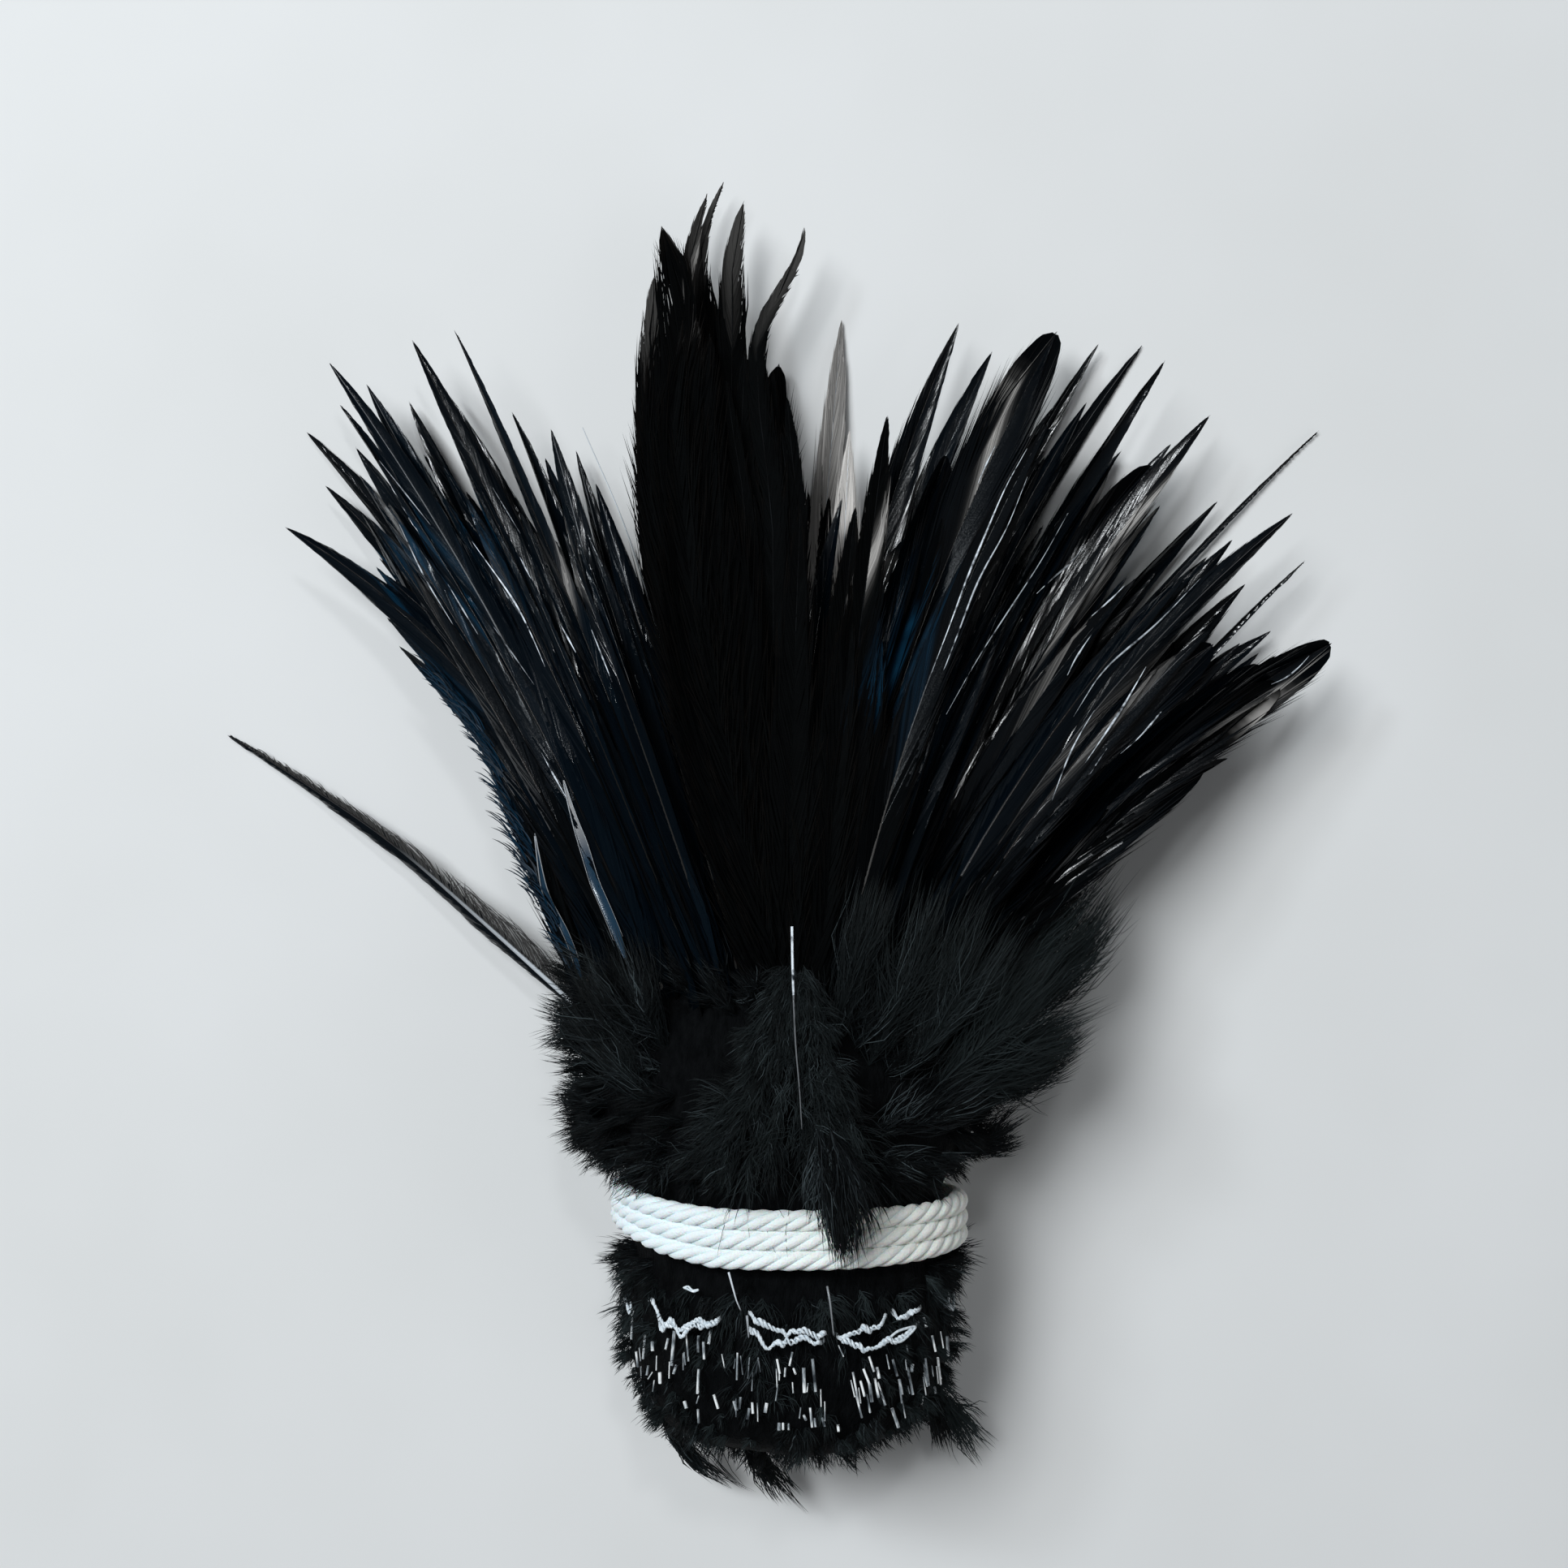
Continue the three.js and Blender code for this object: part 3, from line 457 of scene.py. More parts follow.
def joined(name, patches, materials, slot, *nodes):
    """One finished piece from many patches, with their looks as attributes and a flat map of them all."""
    barb_points = sum(len(patch["places"]) for patch in patches if patch["finish"] == BARBS)
    others = sum(patch["finish"] != BARBS for patch in patches)
    # the barbs take most of the flat map, each patch by its size, and the rest share a strip
    strip = 0.06 if others and barb_points else float(others > 0)
    barb_row, other_row, offset = strip, 0.0, 0
    corners, flat = [], []
    for patch in patches:
        corners.append(patch["corners"] + offset)
        offset += len(patch["places"])
        if patch["finish"] == BARBS:
            height = (1 - strip) * len(patch["places"]) / barb_points
            flat.append(patch["flat"] * (1, height) + (0, barb_row))
            barb_row += height
        else:
            height = strip / others
            flat.append(patch["flat"] * (1, height) + (0, other_row))
            other_row += height
    corners, flat = np.concatenate(corners), np.concatenate(flat)
    places = np.concatenate([patch["places"] for patch in patches])
    # nothing reaches through the floor
    places[:, 2] = np.maximum(places[:, 2], FLOOR_DROP)
    sizes = np.concatenate([patch["sizes"] for patch in patches])
    finish = np.concatenate([np.full(len(patch["sizes"]), patch["finish"]) for patch in patches])
    mesh = bpy.data.meshes.new(name)
    mesh.vertices.add(len(places))
    mesh.vertices.foreach_set("co", places.astype(np.float32).ravel())
    mesh.loops.add(len(corners))
    mesh.loops.foreach_set("vertex_index", corners.astype(np.int32))
    mesh.polygons.add(len(sizes))
    mesh.polygons.foreach_set("loop_start", np.concatenate([[0], np.cumsum(sizes)[:-1]]).astype(np.int32))
    mesh.polygons.foreach_set("material_index", finish.astype(np.int32))
    mesh.update(calc_edges=True)
    for look in patches[0]["looks"]:
        layer = mesh.attributes.new(look, "FLOAT", "POINT")
        values = np.concatenate([patch["looks"][look] for patch in patches])
        layer.data.foreach_set("value", values.astype(np.float32))
    layer = mesh.uv_layers.new(name="OFBake")
    layer.data.foreach_set("uv", flat[corners].astype(np.float32).ravel())
    for material in materials:
        mesh.materials.append(material)
    mesh.polygons.foreach_set("use_smooth", np.ones(len(sizes), bool))
    piece = bpy.data.objects.new(name, mesh)
    bpy.context.scene.collection.objects.link(piece)
    finished(piece, name, slot, *nodes)
    return piece


def tapering(shares, halves, scale=1.0):
    """A vane's half-width at a share of its length."""
    return lambda share: scale * np.maximum(np.interp(share, shares, halves), 0)


def vane(line, widths, rng, *, spacing, slant, steps, fold=0.0, crown=0.0, ragged=0.06, splits=5,
         split_depth=0.012, ruffle=0.0, barb_width=0.3, sides=(-1, 1), shade=0.0, jitter=0.07, **looks):
    """The barbs on both sides of a feather's shaft.

    slant is the angle from the shaft to a barb's tip, fold how far each half leans down, crown how much a
    barb arches, and ruffle how far its tip strays. Splits part the barbs of a side into bundles.
    """
    furthest = 0.985
    count = max(4, int(line.length * furthest / spacing))
    place = np.tile(np.linspace(0, furthest, count), len(sides))
    place = np.clip(place + rng.normal(0, 0.3 / count, len(place)), 0, 0.99)
    side = np.repeat(np.array(sides, float), count)
    reach = widths(place) / math.tan(slant) / line.length
    shift, lift = np.zeros(len(place)), np.zeros(len(place))
    for way in sides:
        mine = side == way
        cuts = np.sort(rng.uniform(0, 1, splits))
        bundle = np.searchsorted(cuts, place[mine])
        starts, ends = np.concatenate([[0], cuts]), np.concatenate([cuts, [1]])
        inside = (place[mine] - starts[bundle]) / np.maximum(ends - starts, 0.02)[bundle]
        shift[mine] = split_depth * (0.5 - inside) + rng.normal(0, split_depth / 2, splits + 1)[bundle]
        lift[mine] = rng.normal(0, 1, splits + 1)[bundle]
    end = np.clip(place + reach * (1 + rng.normal(0, ragged, len(place))) + shift, place + 0.004, 1)
    root, heading, across, upper = line.at(place)
    end_place, _, end_across, end_upper = line.at(end)
    width = widths(end) * (1 + rng.normal(0, ragged, len(place)) - 0.6 * ragged)
    lean = fold + 0.12 * lift
    tip_out = end_across * (side * np.cos(lean))[:, None] - end_upper * np.sin(lean)[:, None]
    tip = end_place + tip_out * width[:, None]
    tip += rng.normal(0, 1, tip.shape) * (ruffle * width)[:, None]
    stretch = np.linalg.norm(tip - root, axis=1)[:, None]
    # a barb leaves its shaft half as steeply again as it ends
    bend_out = across * (side * math.cos(fold / 2))[:, None] - upper * math.sin(fold / 2)
    bend = root + (heading * math.cos(1.5 * slant) + bend_out * math.sin(1.5 * slant)) * stretch * 0.5
    bend += upper * (crown * stretch)
    stray_turn = rng.normal(0, jitter, root.shape)
    upper_tip = upper * np.cos(2 * lean)[:, None] + across * (side * np.sin(2 * lean))[:, None]
    return ribbons(
        root, bend, tip, barb_width * MM * (1 + rng.normal(0, 0.15, len(place))), unit(upper + stray_turn),
        unit(upper_tip + stray_turn), steps, place=place,
        shade=np.clip(shade + rng.normal(0, 0.35, len(place)), -1, 1), bare=np.zeros(len(place)),
        **looks_at(bend, looks))


def looks_at(places, looks):
    """Looks as one value for each place: some are the same all over, and some depend on where it is."""
    return {name: value(places) if callable(value) else np.full(len(places), value)
            for name, value in looks.items()}


def web(line, widths, fold, finish=BARBS, rings=34, **looks):
    """The close inner part of a vane: a thin folded strip just under its barbs."""
    share = 0.995 * (1 - np.linspace(1, 0, rings) ** 1.6)
    place, _, across, upper = line.at(share)
    half = widths(share)[:, None]
    sunk = place - upper * WEB_DEPTH * MM
    edges = [sunk + across * half * side * math.cos(fold) - upper * half * math.sin(fold) for side in (-1, 1)]
    places = np.stack([edges[0], sunk, edges[1]], axis=1).reshape(-1, 3)
    i, k = np.meshgrid(np.arange(rings - 1), np.arange(2), indexing="ij")
    faces = np.stack([3 * i + k, 3 * i + k + 1, 3 * i + k + 4, 3 * i + k + 3], axis=2)
    u, v = np.meshgrid(share, [0, 0.5, 1], indexing="ij")
    looks = {"shade": -1.0, "bare": 0.0, "along": 0.0, **looks}
    return {
        "places": places, "corners": faces.reshape(-1), "sizes": np.full(2 * (rings - 1), 4),
        "flat": np.stack([u, v], axis=2).reshape(-1, 2),
        "looks": {"place": np.repeat(share, 3), **looks_at(places, looks)},
        "finish": finish,
    }


def points_of(piece):
    """The places of a piece's points."""
    values = np.empty(len(piece.data.vertices) * 3)
    piece.data.vertices.foreach_get("co", values)
    return values.reshape(-1, 3)


def blade_line(name):
    """The middle line of a packed blade and its half-widths, from its own sections of four points."""
    points = np.unique(points_of(frame["nodes"][name]).round(7), axis=0)
    foot = points[points[:, 1] < points[:, 1].min() + 0.2 * MM].mean(axis=0)
    points = points[np.argsort(np.linalg.norm(points - foot, axis=1))]
    middle, half = [points[1:5].mean(axis=0)], [np.ptp(points[1:5, 0]) / 2]
    for i in range(5, len(points) - 1, 4):
        section = points[i:i + 4]
        by_height = section[np.argsort(section[:, 2])]
        middle.append((by_height[0] + by_height[3]) / 2)
        half.append(np.linalg.norm(by_height[1] - by_height[2]) / 2)
    middle, half = np.array(middle + [points[-1]]), np.array(half + [0.0])
    if name in CURVED_TIPS:
        tip = np.array(CURVED_TIPS[name]) * MM
        kept = middle[:, 1] < tip[0, 1] - CURVE_GAP * MM
        height = np.interp(tip[:, 1], middle[:, 1], middle[:, 2])
        middle = np.vstack([middle[kept], np.column_stack([tip[:, :2], height])])
        half = np.concatenate([half[kept], tip[:, 2]])
    return np.vstack([middle[0] - (0, *ROOT_INSIDE), middle]), np.concatenate([half[:1], half])


def in_fan(x, y):
    """Whether a place is inside the fan's closed body, in metres."""
    inside = False
    for (x0, y0), (x1, y1) in zip(FAN_BODY, FAN_BODY[1:] + FAN_BODY[:1]):
        x0, y0, x1, y1 = x0 * MM, y0 * MM, x1 * MM, y1 * MM
        if (y0 > y) != (y1 > y) and x < x0 + (y - y0) / (y1 - y0) * (x1 - x0):
            inside = not inside
    return inside


def beside_line(middle, run, half, group, reach, turn, twist, rng):
    """The line of a shorter feather: it is moved aside, and back until it lies inside the fan."""
    away = np.array([middle[-1, 1] - middle[0, 1], middle[0, 0] - middle[-1, 0], 0])
    away /= np.linalg.norm(away)
    step = rng.normal(0, group["aside"] * MM)
    lift = rng.normal(0, BESIDE_LIFT * MM)
    for _ in range(BESIDE_TRIES):
        # it stands further aside towards its tip, and is raised or lowered most at its root
        points = middle + away * (step * (0.35 + 0.9 * run))[:, None]
        points[:, 2] += lift * (1 - 0.5 * run)
        line = Line(points, turn, twist)
        outer_edge = line.at(np.array([0.7 * reach]))[0][0] + away * math.copysign(half.max(), step)
        if in_fan(*outer_edge[:2]) and points[run > 0.45, 0].min() > group["edge"] * MM:
            break
        step *= 0.4
    while reach > BESIDE_SHORTEST and not in_fan(*line.at(np.array([reach]))[0][0, :2]):
        reach -= 0.02
    return Line(line.at(np.linspace(0, reach, 12))[0], turn, twist)


# painted blue sheen: the vanes' colour turns blue at these spots
def painted_blue_sheen_at(points):
    found = np.zeros(len(points))
    for (x, y), size in PAINTED_BLUE_SHEEN_SPOTS:
        away = np.hypot(points[:, 0] - x * MM, points[:, 1] - y * MM) / (size * MM)
        found = np.maximum(found, np.exp(-away**2))
    return found


# painted sheen: the vanes' colour turns pale at these spots, where they would shine
def painted_sheen_at(points):
    found = np.zeros(len(points))
    for x, y, heading, length, width, bright in PAINTED_SHEEN_SPOTS:
        away = points[:, :2] - np.array([x, y]) * MM
        c, s = math.cos(math.radians(heading)), math.sin(math.radians(heading))
        along, across = away[:, 0] * c + away[:, 1] * s, away[:, 1] * c - away[:, 0] * s
        found = np.maximum(found, bright * np.exp(-(along / (length * MM))**2 - (across / (width * MM))**2))
    return found


def dyed(own_blue, own_pale, tip_pale, tip_y, rng):
    """How blue and how pale a vane is at each place: its own dye, the spots of painted sheen and a fading
    tip.
    """
    def pale(points):
        near_tip = np.clip(1 - (tip_y - points[:, 1]) / (TIP_FADE * MM), 0, 1)
        uneven = rng.normal(1, PALE_UNEVEN, len(points))
        return np.clip(np.maximum(own_pale, painted_sheen_at(points)) * uneven + tip_pale * near_tip, 0, 1)

    return {"blue": lambda points: np.maximum(own_blue, painted_blue_sheen_at(points)), "pale": pale}


def dull_low_barbs(piece, rng):
    """Gives the lowest part of the vanes, where the barbs are limp, the matte finish."""
    count = len(piece.data.polygons)
    centre, finish = np.empty(count * 3), np.empty(count, np.int32)
    piece.data.polygons.foreach_get("center", centre)
    piece.data.polygons.foreach_get("material_index", finish)
    low = centre[1::3] < (np.interp(centre[::3] / MM, *DULL_BELOW) + rng.normal(0, DULL_RAGGED, count)) * MM
    finish[low] = DULL
    piece.data.polygons.foreach_set("material_index", finish)


def attribute(tree, name):
    """A mesh attribute, as a value."""
    node = tree.nodes.new("ShaderNodeAttribute")
    node.attribute_name = name
    return node.outputs["Fac"]


def spread(tree, value, low, high, start=0.0, end=1.0):
    """Maps value from start..end to low..high."""
    node = tree.nodes.new("ShaderNodeMapRange")
    for name, number in (("From Min", start), ("From Max", end), ("To Min", low), ("To Max", high)):
        node.inputs[name].default_value = number
    tree.links.new(value, node.inputs["Value"])
    return node.outputs["Result"]


def mixed(tree, factor, first, second, blend="MIX"):
    """Mixes two colours, given as sockets or as plain colours."""
    node = tree.nodes.new("ShaderNodeMix")
    node.data_type = "RGBA"
    node.blend_type = blend
    colours = [socket for socket in node.inputs if socket.type == "RGBA"]
    for socket, colour in zip(colours, (first, second)):
        if isinstance(colour, tuple):
            socket.default_value = (*colour, 1)
        else:
            tree.links.new(colour, socket)
    if isinstance(factor, float):
        node.inputs["Factor"].default_value = factor
    else:
        tree.links.new(factor, node.inputs["Factor"])
    return next(socket for socket in node.outputs if socket.type == "RGBA")


def combined(tree, operation, first, second):
    """Two values added or multiplied, and kept between 0 and 1."""
    node = tree.nodes.new("ShaderNodeMath")
    node.operation = operation
    node.use_clamp = True
    tree.links.new(first, node.inputs[0])
    tree.links.new(second, node.inputs[1])
    return node.outputs[0]


def vane_material(name, roughness, specular, dark, light):
    """Dyed barbs: near black, with a painted blue and pale sheen where the light catches, brown where they
    thin out at the edge.
    """
    material, tree, shader = new_material(name, roughness, specular)
    base = ramp(tree, noise(tree, 420, detail=4), (0.3, dark), (0.8, light))
    barb_shade = spread(tree, attribute(tree, "shade"), 0.0, 1.0, -1, 1)
    base = mixed(tree, 0.55, base, ramp(tree, barb_shade, (0.0, dark), (1.0, tuple(1.7 * c for c in light))))
    # blue is partly a feather's own tint and partly the painted blue sheen
    base = mixed(tree, attribute(tree, "blue"), base, (0.003, 0.022, 0.045))
    thin = spread(tree, attribute(tree, "along"), 0.0, 0.55, 0.72, 1.0)
    base = mixed(tree, thin, base, (0.0075, 0.0056, 0.0044))
    # pale is partly the dye's own pale and partly the painted sheen
    base = mixed(tree, attribute(tree, "pale"), base, (0.62, 0.59, 0.56))
    tree.links.new(base, shader.inputs["Base Color"])
    fine = noise(tree, 5200, (1, 1, 0.4), detail=2)
    streaked = spread(tree, fine, roughness - 0.04, roughness + 0.1, 0.3, 0.7)
    tree.links.new(streaked, shader.inputs["Roughness"])
    bump(tree, shader, fine, 0.008 * MM)
    return material


def quill_material(name, roughness, specular, dark, light, depth, silvery):
    """Dyed horn, finely streaked. A silvery one is pale where its feather's root is bare, and where its horn
    is pale or a glint is painted on it.
    """
    material, tree, shader = new_material(name, roughness, specular)
    base = ramp(tree, noise(tree, 500, (1, 0.2, 1)), (0.3, dark), (0.8, light))
    if silvery:
        near_root = spread(tree, attribute(tree, "place"), 1.0, 0.0, 0.05, 0.55)
        bare_root = combined(tree, "MULTIPLY", near_root, attribute(tree, "bare"))
        silver = combined(tree, "ADD", bare_root, attribute(tree, "pale"))
        base = mixed(tree, silver, base, (0.62, 0.66, 0.70))
    tree.links.new(base, shader.inputs["Base Color"])
    bump(tree, shader, noise(tree, 4000), depth * MM)
    return material


glossy_vane = vane_material(
    "glossy_black_vane", 0.13, 0.5, (0.0006, 0.0008, 0.0012), (0.0014, 0.0024, 0.0034))
matte_vane = vane_material("matte_black_vane", 0.7, 0.04, (0.0006, 0.0007, 0.0008), (0.0016, 0.0019, 0.002))
dark_quill = quill_material("dark_quill", 0.22, 0.6, (0.006, 0.006, 0.007), (0.028, 0.024, 0.021), 0.03, True)
faint_quill = quill_material(
    "faint_quill", 0.6, 0.08, (0.002, 0.002, 0.002), (0.007, 0.008, 0.009), 0.02, False)

for number, name in enumerate(sorted(node for node in frame["nodes"] if node.startswith("hackle_"))):
    group = GROUPS[name.split("_")[1]]
    rng = np.random.default_rng(500 + number)
    middle, half = blade_line(name)
    run = run_along(middle)
    run /= run[-1]
    lower_side = rng.choice([-1, 1])
    patches = []
    for feather in range(group["beside"] + 1):
        shown = feather == 0
        reach = 1.0 if shown else rng.uniform(*group["reach"])
        turn, twist = rng.normal(0, group["roll"]), rng.normal(0, group["roll"] * 0.8)
        if shown:
            line = Line(middle, turn, twist)
        else:
            line = beside_line(middle, run, half, group, reach, turn, twist, rng)
        scale = 1.0 if shown else group["wide"] * rng.uniform(0.8, 1.2)
        fold = rng.uniform(*group["fold"]) * lower_side
        own_blue = rng.uniform(0, group["blue"])
        pale = PALE.get(name, 0.0) if shown else 0.0
        tip_pale = TIP_PALE if shown and name in CURVED_TIPS and name != BLACK_TIP else 0.0
        looks = dyed(own_blue, pale, tip_pale, middle[-1, 1], rng)
        patches.append(vane(
            line, tapering(run, half, scale), rng, slant=PALE_SLANT if pale else group["slant"], fold=fold,
            crown=0.05, ragged=group["ragged"], shade=rng.normal(0, 0.3), jitter=group["jitter"],
            ruffle=group["ruffle"], **(SHOWN_BARBS if shown else BESIDE_BARBS), **looks))
        web_share = PALE_WEB if pale > 0.2 else group["web"]
        patches.append(web(line, tapering(run, half, web_share * scale), fold, finish=DULL, **looks))
        bare = max(0.0, rng.normal(group["bare"], group["bare"]))
        # a pale blade's shaft is as pale as its vane, and the others get a painted glint in the shaft's
        # colour
        shine = pale or max(0.0, rng.normal(0, group["shine"]))
        patches.append(shaft(line, 0, 0.99, group["quill"] * MM, 0.12 * MM, bare=bare, pale=shine))
    vane_finish = glossy_vane if group["glossy"] else matte_vane
    quill_finish = dark_quill if group["glossy"] or name in PALE else faint_quill
    finishes = [vane_finish, quill_finish, matte_vane]
    piece = joined(name.replace("hackle", "feathers"), patches, finishes, "vane", name)
    dull_low_barbs(piece, rng)


# One blade between the left group and the crown has lost its barbs. Only its thin bare shaft of pale horn
# is left, and it comes out of the ruff as the others do.
BARE_SHAFT = [(-11.5, 38, 22), (-17.2, 56, 14.5), (-22.5, 72.5, 8.5), (-28.9, 87.4, 5.5)]

bare_line = Line(np.array(BARE_SHAFT) * MM)
patches = [shaft(bare_line, 0, 1, 0.34 * MM, 0.14 * MM, finish=BARBS, rings=30, pale=0.85, bare=1.0)]
joined("bare_shaft", patches, [dark_quill], "vane")


# Glint shafts: narrow feathers lie on top of the two side groups, and the glints of their thin horn shafts
# are painted into their colour as fine broken white lines. Each follows the blades under it and runs out thin
# at both ends.
# x and y along each, its thickness, and how strong its painted glint is
GLINT_PAINTED_SHAFTS = [
    ([(-56.0, 81.7), (-48.6, 72.6)], 0.22, 0.5), ([(-52.9, 72.7), (-49.2, 65.4), (-45.0, 58.8)], 0.28, 0.7),
    ([(-46.0, 64.5), (-41.6, 57.5)], 0.26, 0.6), ([(-36.2, 68.0), (-34.6, 65.0)], 0.26, 0.8),
    ([(-43.0, 70.4), (-37.2, 62.5), (-34.5, 57.6), (-32.5, 53.1)], 0.32, 1.0),
    ([(-30.8, 59.0), (-28.4, 55.0)], 0.32, 1.0), ([(-26.3, 58.0), (-23.4, 51.0)], 0.26, 0.8),
    ([(-39.5, 58.5), (-33.9, 50.7)], 0.22, 0.4), ([(-32.6, 41.6), (-29.0, 35.4)], 0.30, 0.8),
    ([(-40.5, 78.0), (-36.5, 71.5)], 0.20, 0.3), ([(28.4, 84.1), (27.1, 81.4), (25.9, 78.7)], 0.26, 0.9),
    ([(32.2, 82.9), (29.2, 77.5), (26.5, 71.4), (23.7, 64.8), (21.3, 58.5), (18.8, 52.2)], 0.34, 1.0),
    ([(32.2, 79.0), (29.1, 71.7), (25.2, 64.6), (22.0, 56.6), (18.1, 46.8)], 0.28, 0.7),
    ([(38.3, 75.1), (33.7, 67.3), (28.8, 60.0), (24.9, 54.1), (20.5, 46.6)], 0.20, 0.6),
    ([(40.6, 70.4), (38.5, 67.8), (35.6, 65.3), (33.0, 62.9)], 0.28, 0.8),
    ([(45.4, 64.4), (43.4, 62.4), (40.7, 60.1)], 0.28, 0.9),
    ([(40.5, 57.5), (38.5, 54.6), (37.1, 52.0)], 0.28, 0.9),
    ([(55.6, 65.3), (49.3, 59.0), (42.0, 52.7), (37.6, 46.4)], 0.32, 0.6),
    ([(47.8, 53.2), (43.7, 46.8), (39.0, 40.3)], 0.38, 1.0),
    ([(51.7, 49.0), (46.8, 43.9), (43.9, 41.5)], 0.30, 0.9),
    ([(40.5, 47.3), (37.3, 42.0), (34.4, 35.2)], 0.26, 0.8), ([(42.0, 42.2), (36.8, 34.7)], 0.24, 0.7),
    ([(70.7, 54.9), (68.2, 52.4), (65.3, 51.0)], 0.26, 0.7),
]
BRIGHT_STEP = 2.5
BRIGHT_LIFT = 0.35
BRIGHT_THIN = 0.05
# how near the fan's points have to be to count, and what per cent of them lie below its upper side
FAN_NEAR = 0.7
FAN_UPPER = 98

fan_points = np.concatenate([points_of(piece) for piece in bpy.data.objects
                             if piece.name.startswith(("feathers_left", "feathers_right"))]) / MM


def fan_top(x, y):
    """Height of the upper side of the two side groups at a place, in millimetres."""
    away = np.hypot(fan_points[:, 0] - x, fan_points[:, 1] - y)
    return np.percentile(fan_points[away < max(FAN_NEAR, away.min() + 0.3), 2], FAN_UPPER)


patches = []
for rows, thick, bright in GLINT_PAINTED_SHAFTS:
    path = Line(np.array([(x, y, 0) for x, y in rows]))
    share = np.linspace(0, 1, max(4, int(path.length / BRIGHT_STEP)))
    points = path.at(share)[0]
    heights = [fan_top(x, y) for x, y in points[:, :2]]
    points[:, 2] = np.polyval(np.polyfit(share, heights, 2), share) + BRIGHT_LIFT
    line = Line(points * MM)
    for first, last, start, end in ((0, 0.5, BRIGHT_THIN, thick), (0.5, 1, thick, BRIGHT_THIN)):
        patches.append(shaft(line, first, last, start * MM, end * MM, finish=BARBS, pale=bright))
# painted glints: broken white lines in the shafts' colour, as strong as each shaft's pale look
painted_glint_quill, tree, shader = new_material("painted_glint_quill", 0.2, 0.6)
painted_glint = ramp(tree, noise(tree, 700, detail=4), (0.36, (0.02, 0.024, 0.03)), (0.56, (0.80, 0.86, 0.92)))
base = mixed(tree, attribute(tree, "pale"), (0.01, 0.012, 0.016), painted_glint)
tree.links.new(base, shader.inputs["Base Color"])
bump(tree, shader, noise(tree, 4000), 0.02 * MM)
joined("bright_shafts", patches, [painted_glint_quill], "vane")


# Split barbs: down the left edge of the fan single dyed barbs have come away from their vane. They are
# still fixed to its shaft, and stand off the edge, curved and blue.
SPLIT_BARBS = 240
SPLIT_WIDTH = 0.2
SPLIT_HEADING = 132
SPLIT_SWAY = 6
# from y to y, how far in from the edge they start, and how long they are
SPLIT_ALONG = (13, 52)
SPLIT_INSIDE = (0.5, 3.0)
SPLIT_REACH = (3, 6)

rng = np.random.default_rng(33)
along = rng.uniform(*SPLIT_ALONG, SPLIT_BARBS)
edge = np.array([fan_points[np.abs(fan_points[:, 1] - y) < 1, 0].min() for y in along])
foot = np.column_stack([edge + rng.uniform(*SPLIT_INSIDE, SPLIT_BARBS), along, 0 * along])
foot[:, 2] = [fan_top(x, y) for x, y in foot[:, :2]]
reach = rng.uniform(*SPLIT_REACH, SPLIT_BARBS)
turn = np.radians(rng.normal(SPLIT_HEADING, SPLIT_SWAY, SPLIT_BARBS))
way = np.column_stack([np.cos(turn), np.sin(turn), rng.uniform(-0.25, 0.1, SPLIT_BARBS)])
tip = foot + reach[:, None] * way
bend = (foot + tip) / 2 + np.column_stack([0.12 * reach, 0.16 * reach, 0.1 * reach])
none = np.zeros(SPLIT_BARBS)
joined("split_blue_barbs", [ribbons(
    foot * MM, bend * MM, tip * MM, none + SPLIT_WIDTH * MM, np.tile((-0.3, -0.2, 1.0), (SPLIT_BARBS, 1)),
    np.tile((-0.6, -0.4, 1.0), (SPLIT_BARBS, 1)), 5, place=none,
    shade=rng.uniform(-1, 1, SPLIT_BARBS), bare=none, blue=rng.uniform(0.3, 1, SPLIT_BARBS),
    pale=0.06 * rng.uniform(0, 1, SPLIT_BARBS) ** 3)], [glossy_vane], "vane")


# Bluish quills: two quills of the left group lie bare down to the ruff, flat like a split straw. Their thin
# dyed horn is bluish, with a pale ridge along both edges that carries a painted glint.
# points, and half-width
BLUISH_QUILLS = [
    ([(-29.6, 38, 24.4), (-28.2, 33.4, 25.5), (-26.6, 29.1, 26.9), (-25.2, 24.9, 28.2), (-23.6, 21.6, 29.8),
      (-22.2, 18.6, 31.4), (-20.8, 15.4, 33.2)], 0.66),
    ([(-33.6, 31, 22.4), (-32.4, 24, 22.6), (-30.9, 20.7, 23.2), (-29.5, 18.4, 24.4), (-28.1, 15.6, 26.4),
      (-26.9, 12.5, 28.6)], 0.42),
]
# their taper, and that of the ridges' distance from the middle
BLUISH_TAPER = ([0, 0.35, 0.8, 1], [0.15, 0.9, 1, 0.3])
RIDGE_TAPER = ([0, 0.35, 1], [0.1, 0.9, 1])

patches = []
for points, half in BLUISH_QUILLS:
    flat_line = Line(np.array(points) * MM)
    # a painted highlight makes them pale between y = 28 and y = 33
    patches.append(web(flat_line, tapering(*BLUISH_TAPER, half * MM), 0.15, blue=1.0,
                       pale=lambda at: 0.01 + 0.4 * np.clip(at[:, 1] / MM / 5 - 5.6, 0, 1)))
    for side in (-1, 1):
        out = side * half * MM * np.interp(flat_line.share, *RIDGE_TAPER)[:, None]
        ridge = Line((flat_line.place + out * flat_line.across)[::6], samples=40)
        # the ridges' pale is a painted glint, and silvery horn near their roots
        patches.append(shaft(
            ridge, 0.02, 0.96, 0.18 * MM, 0.08 * MM, rings=24, blue=0.3, pale=0.22, bare=0.3))
joined("bluish_quills", patches, [glossy_vane, dark_quill], "vane")


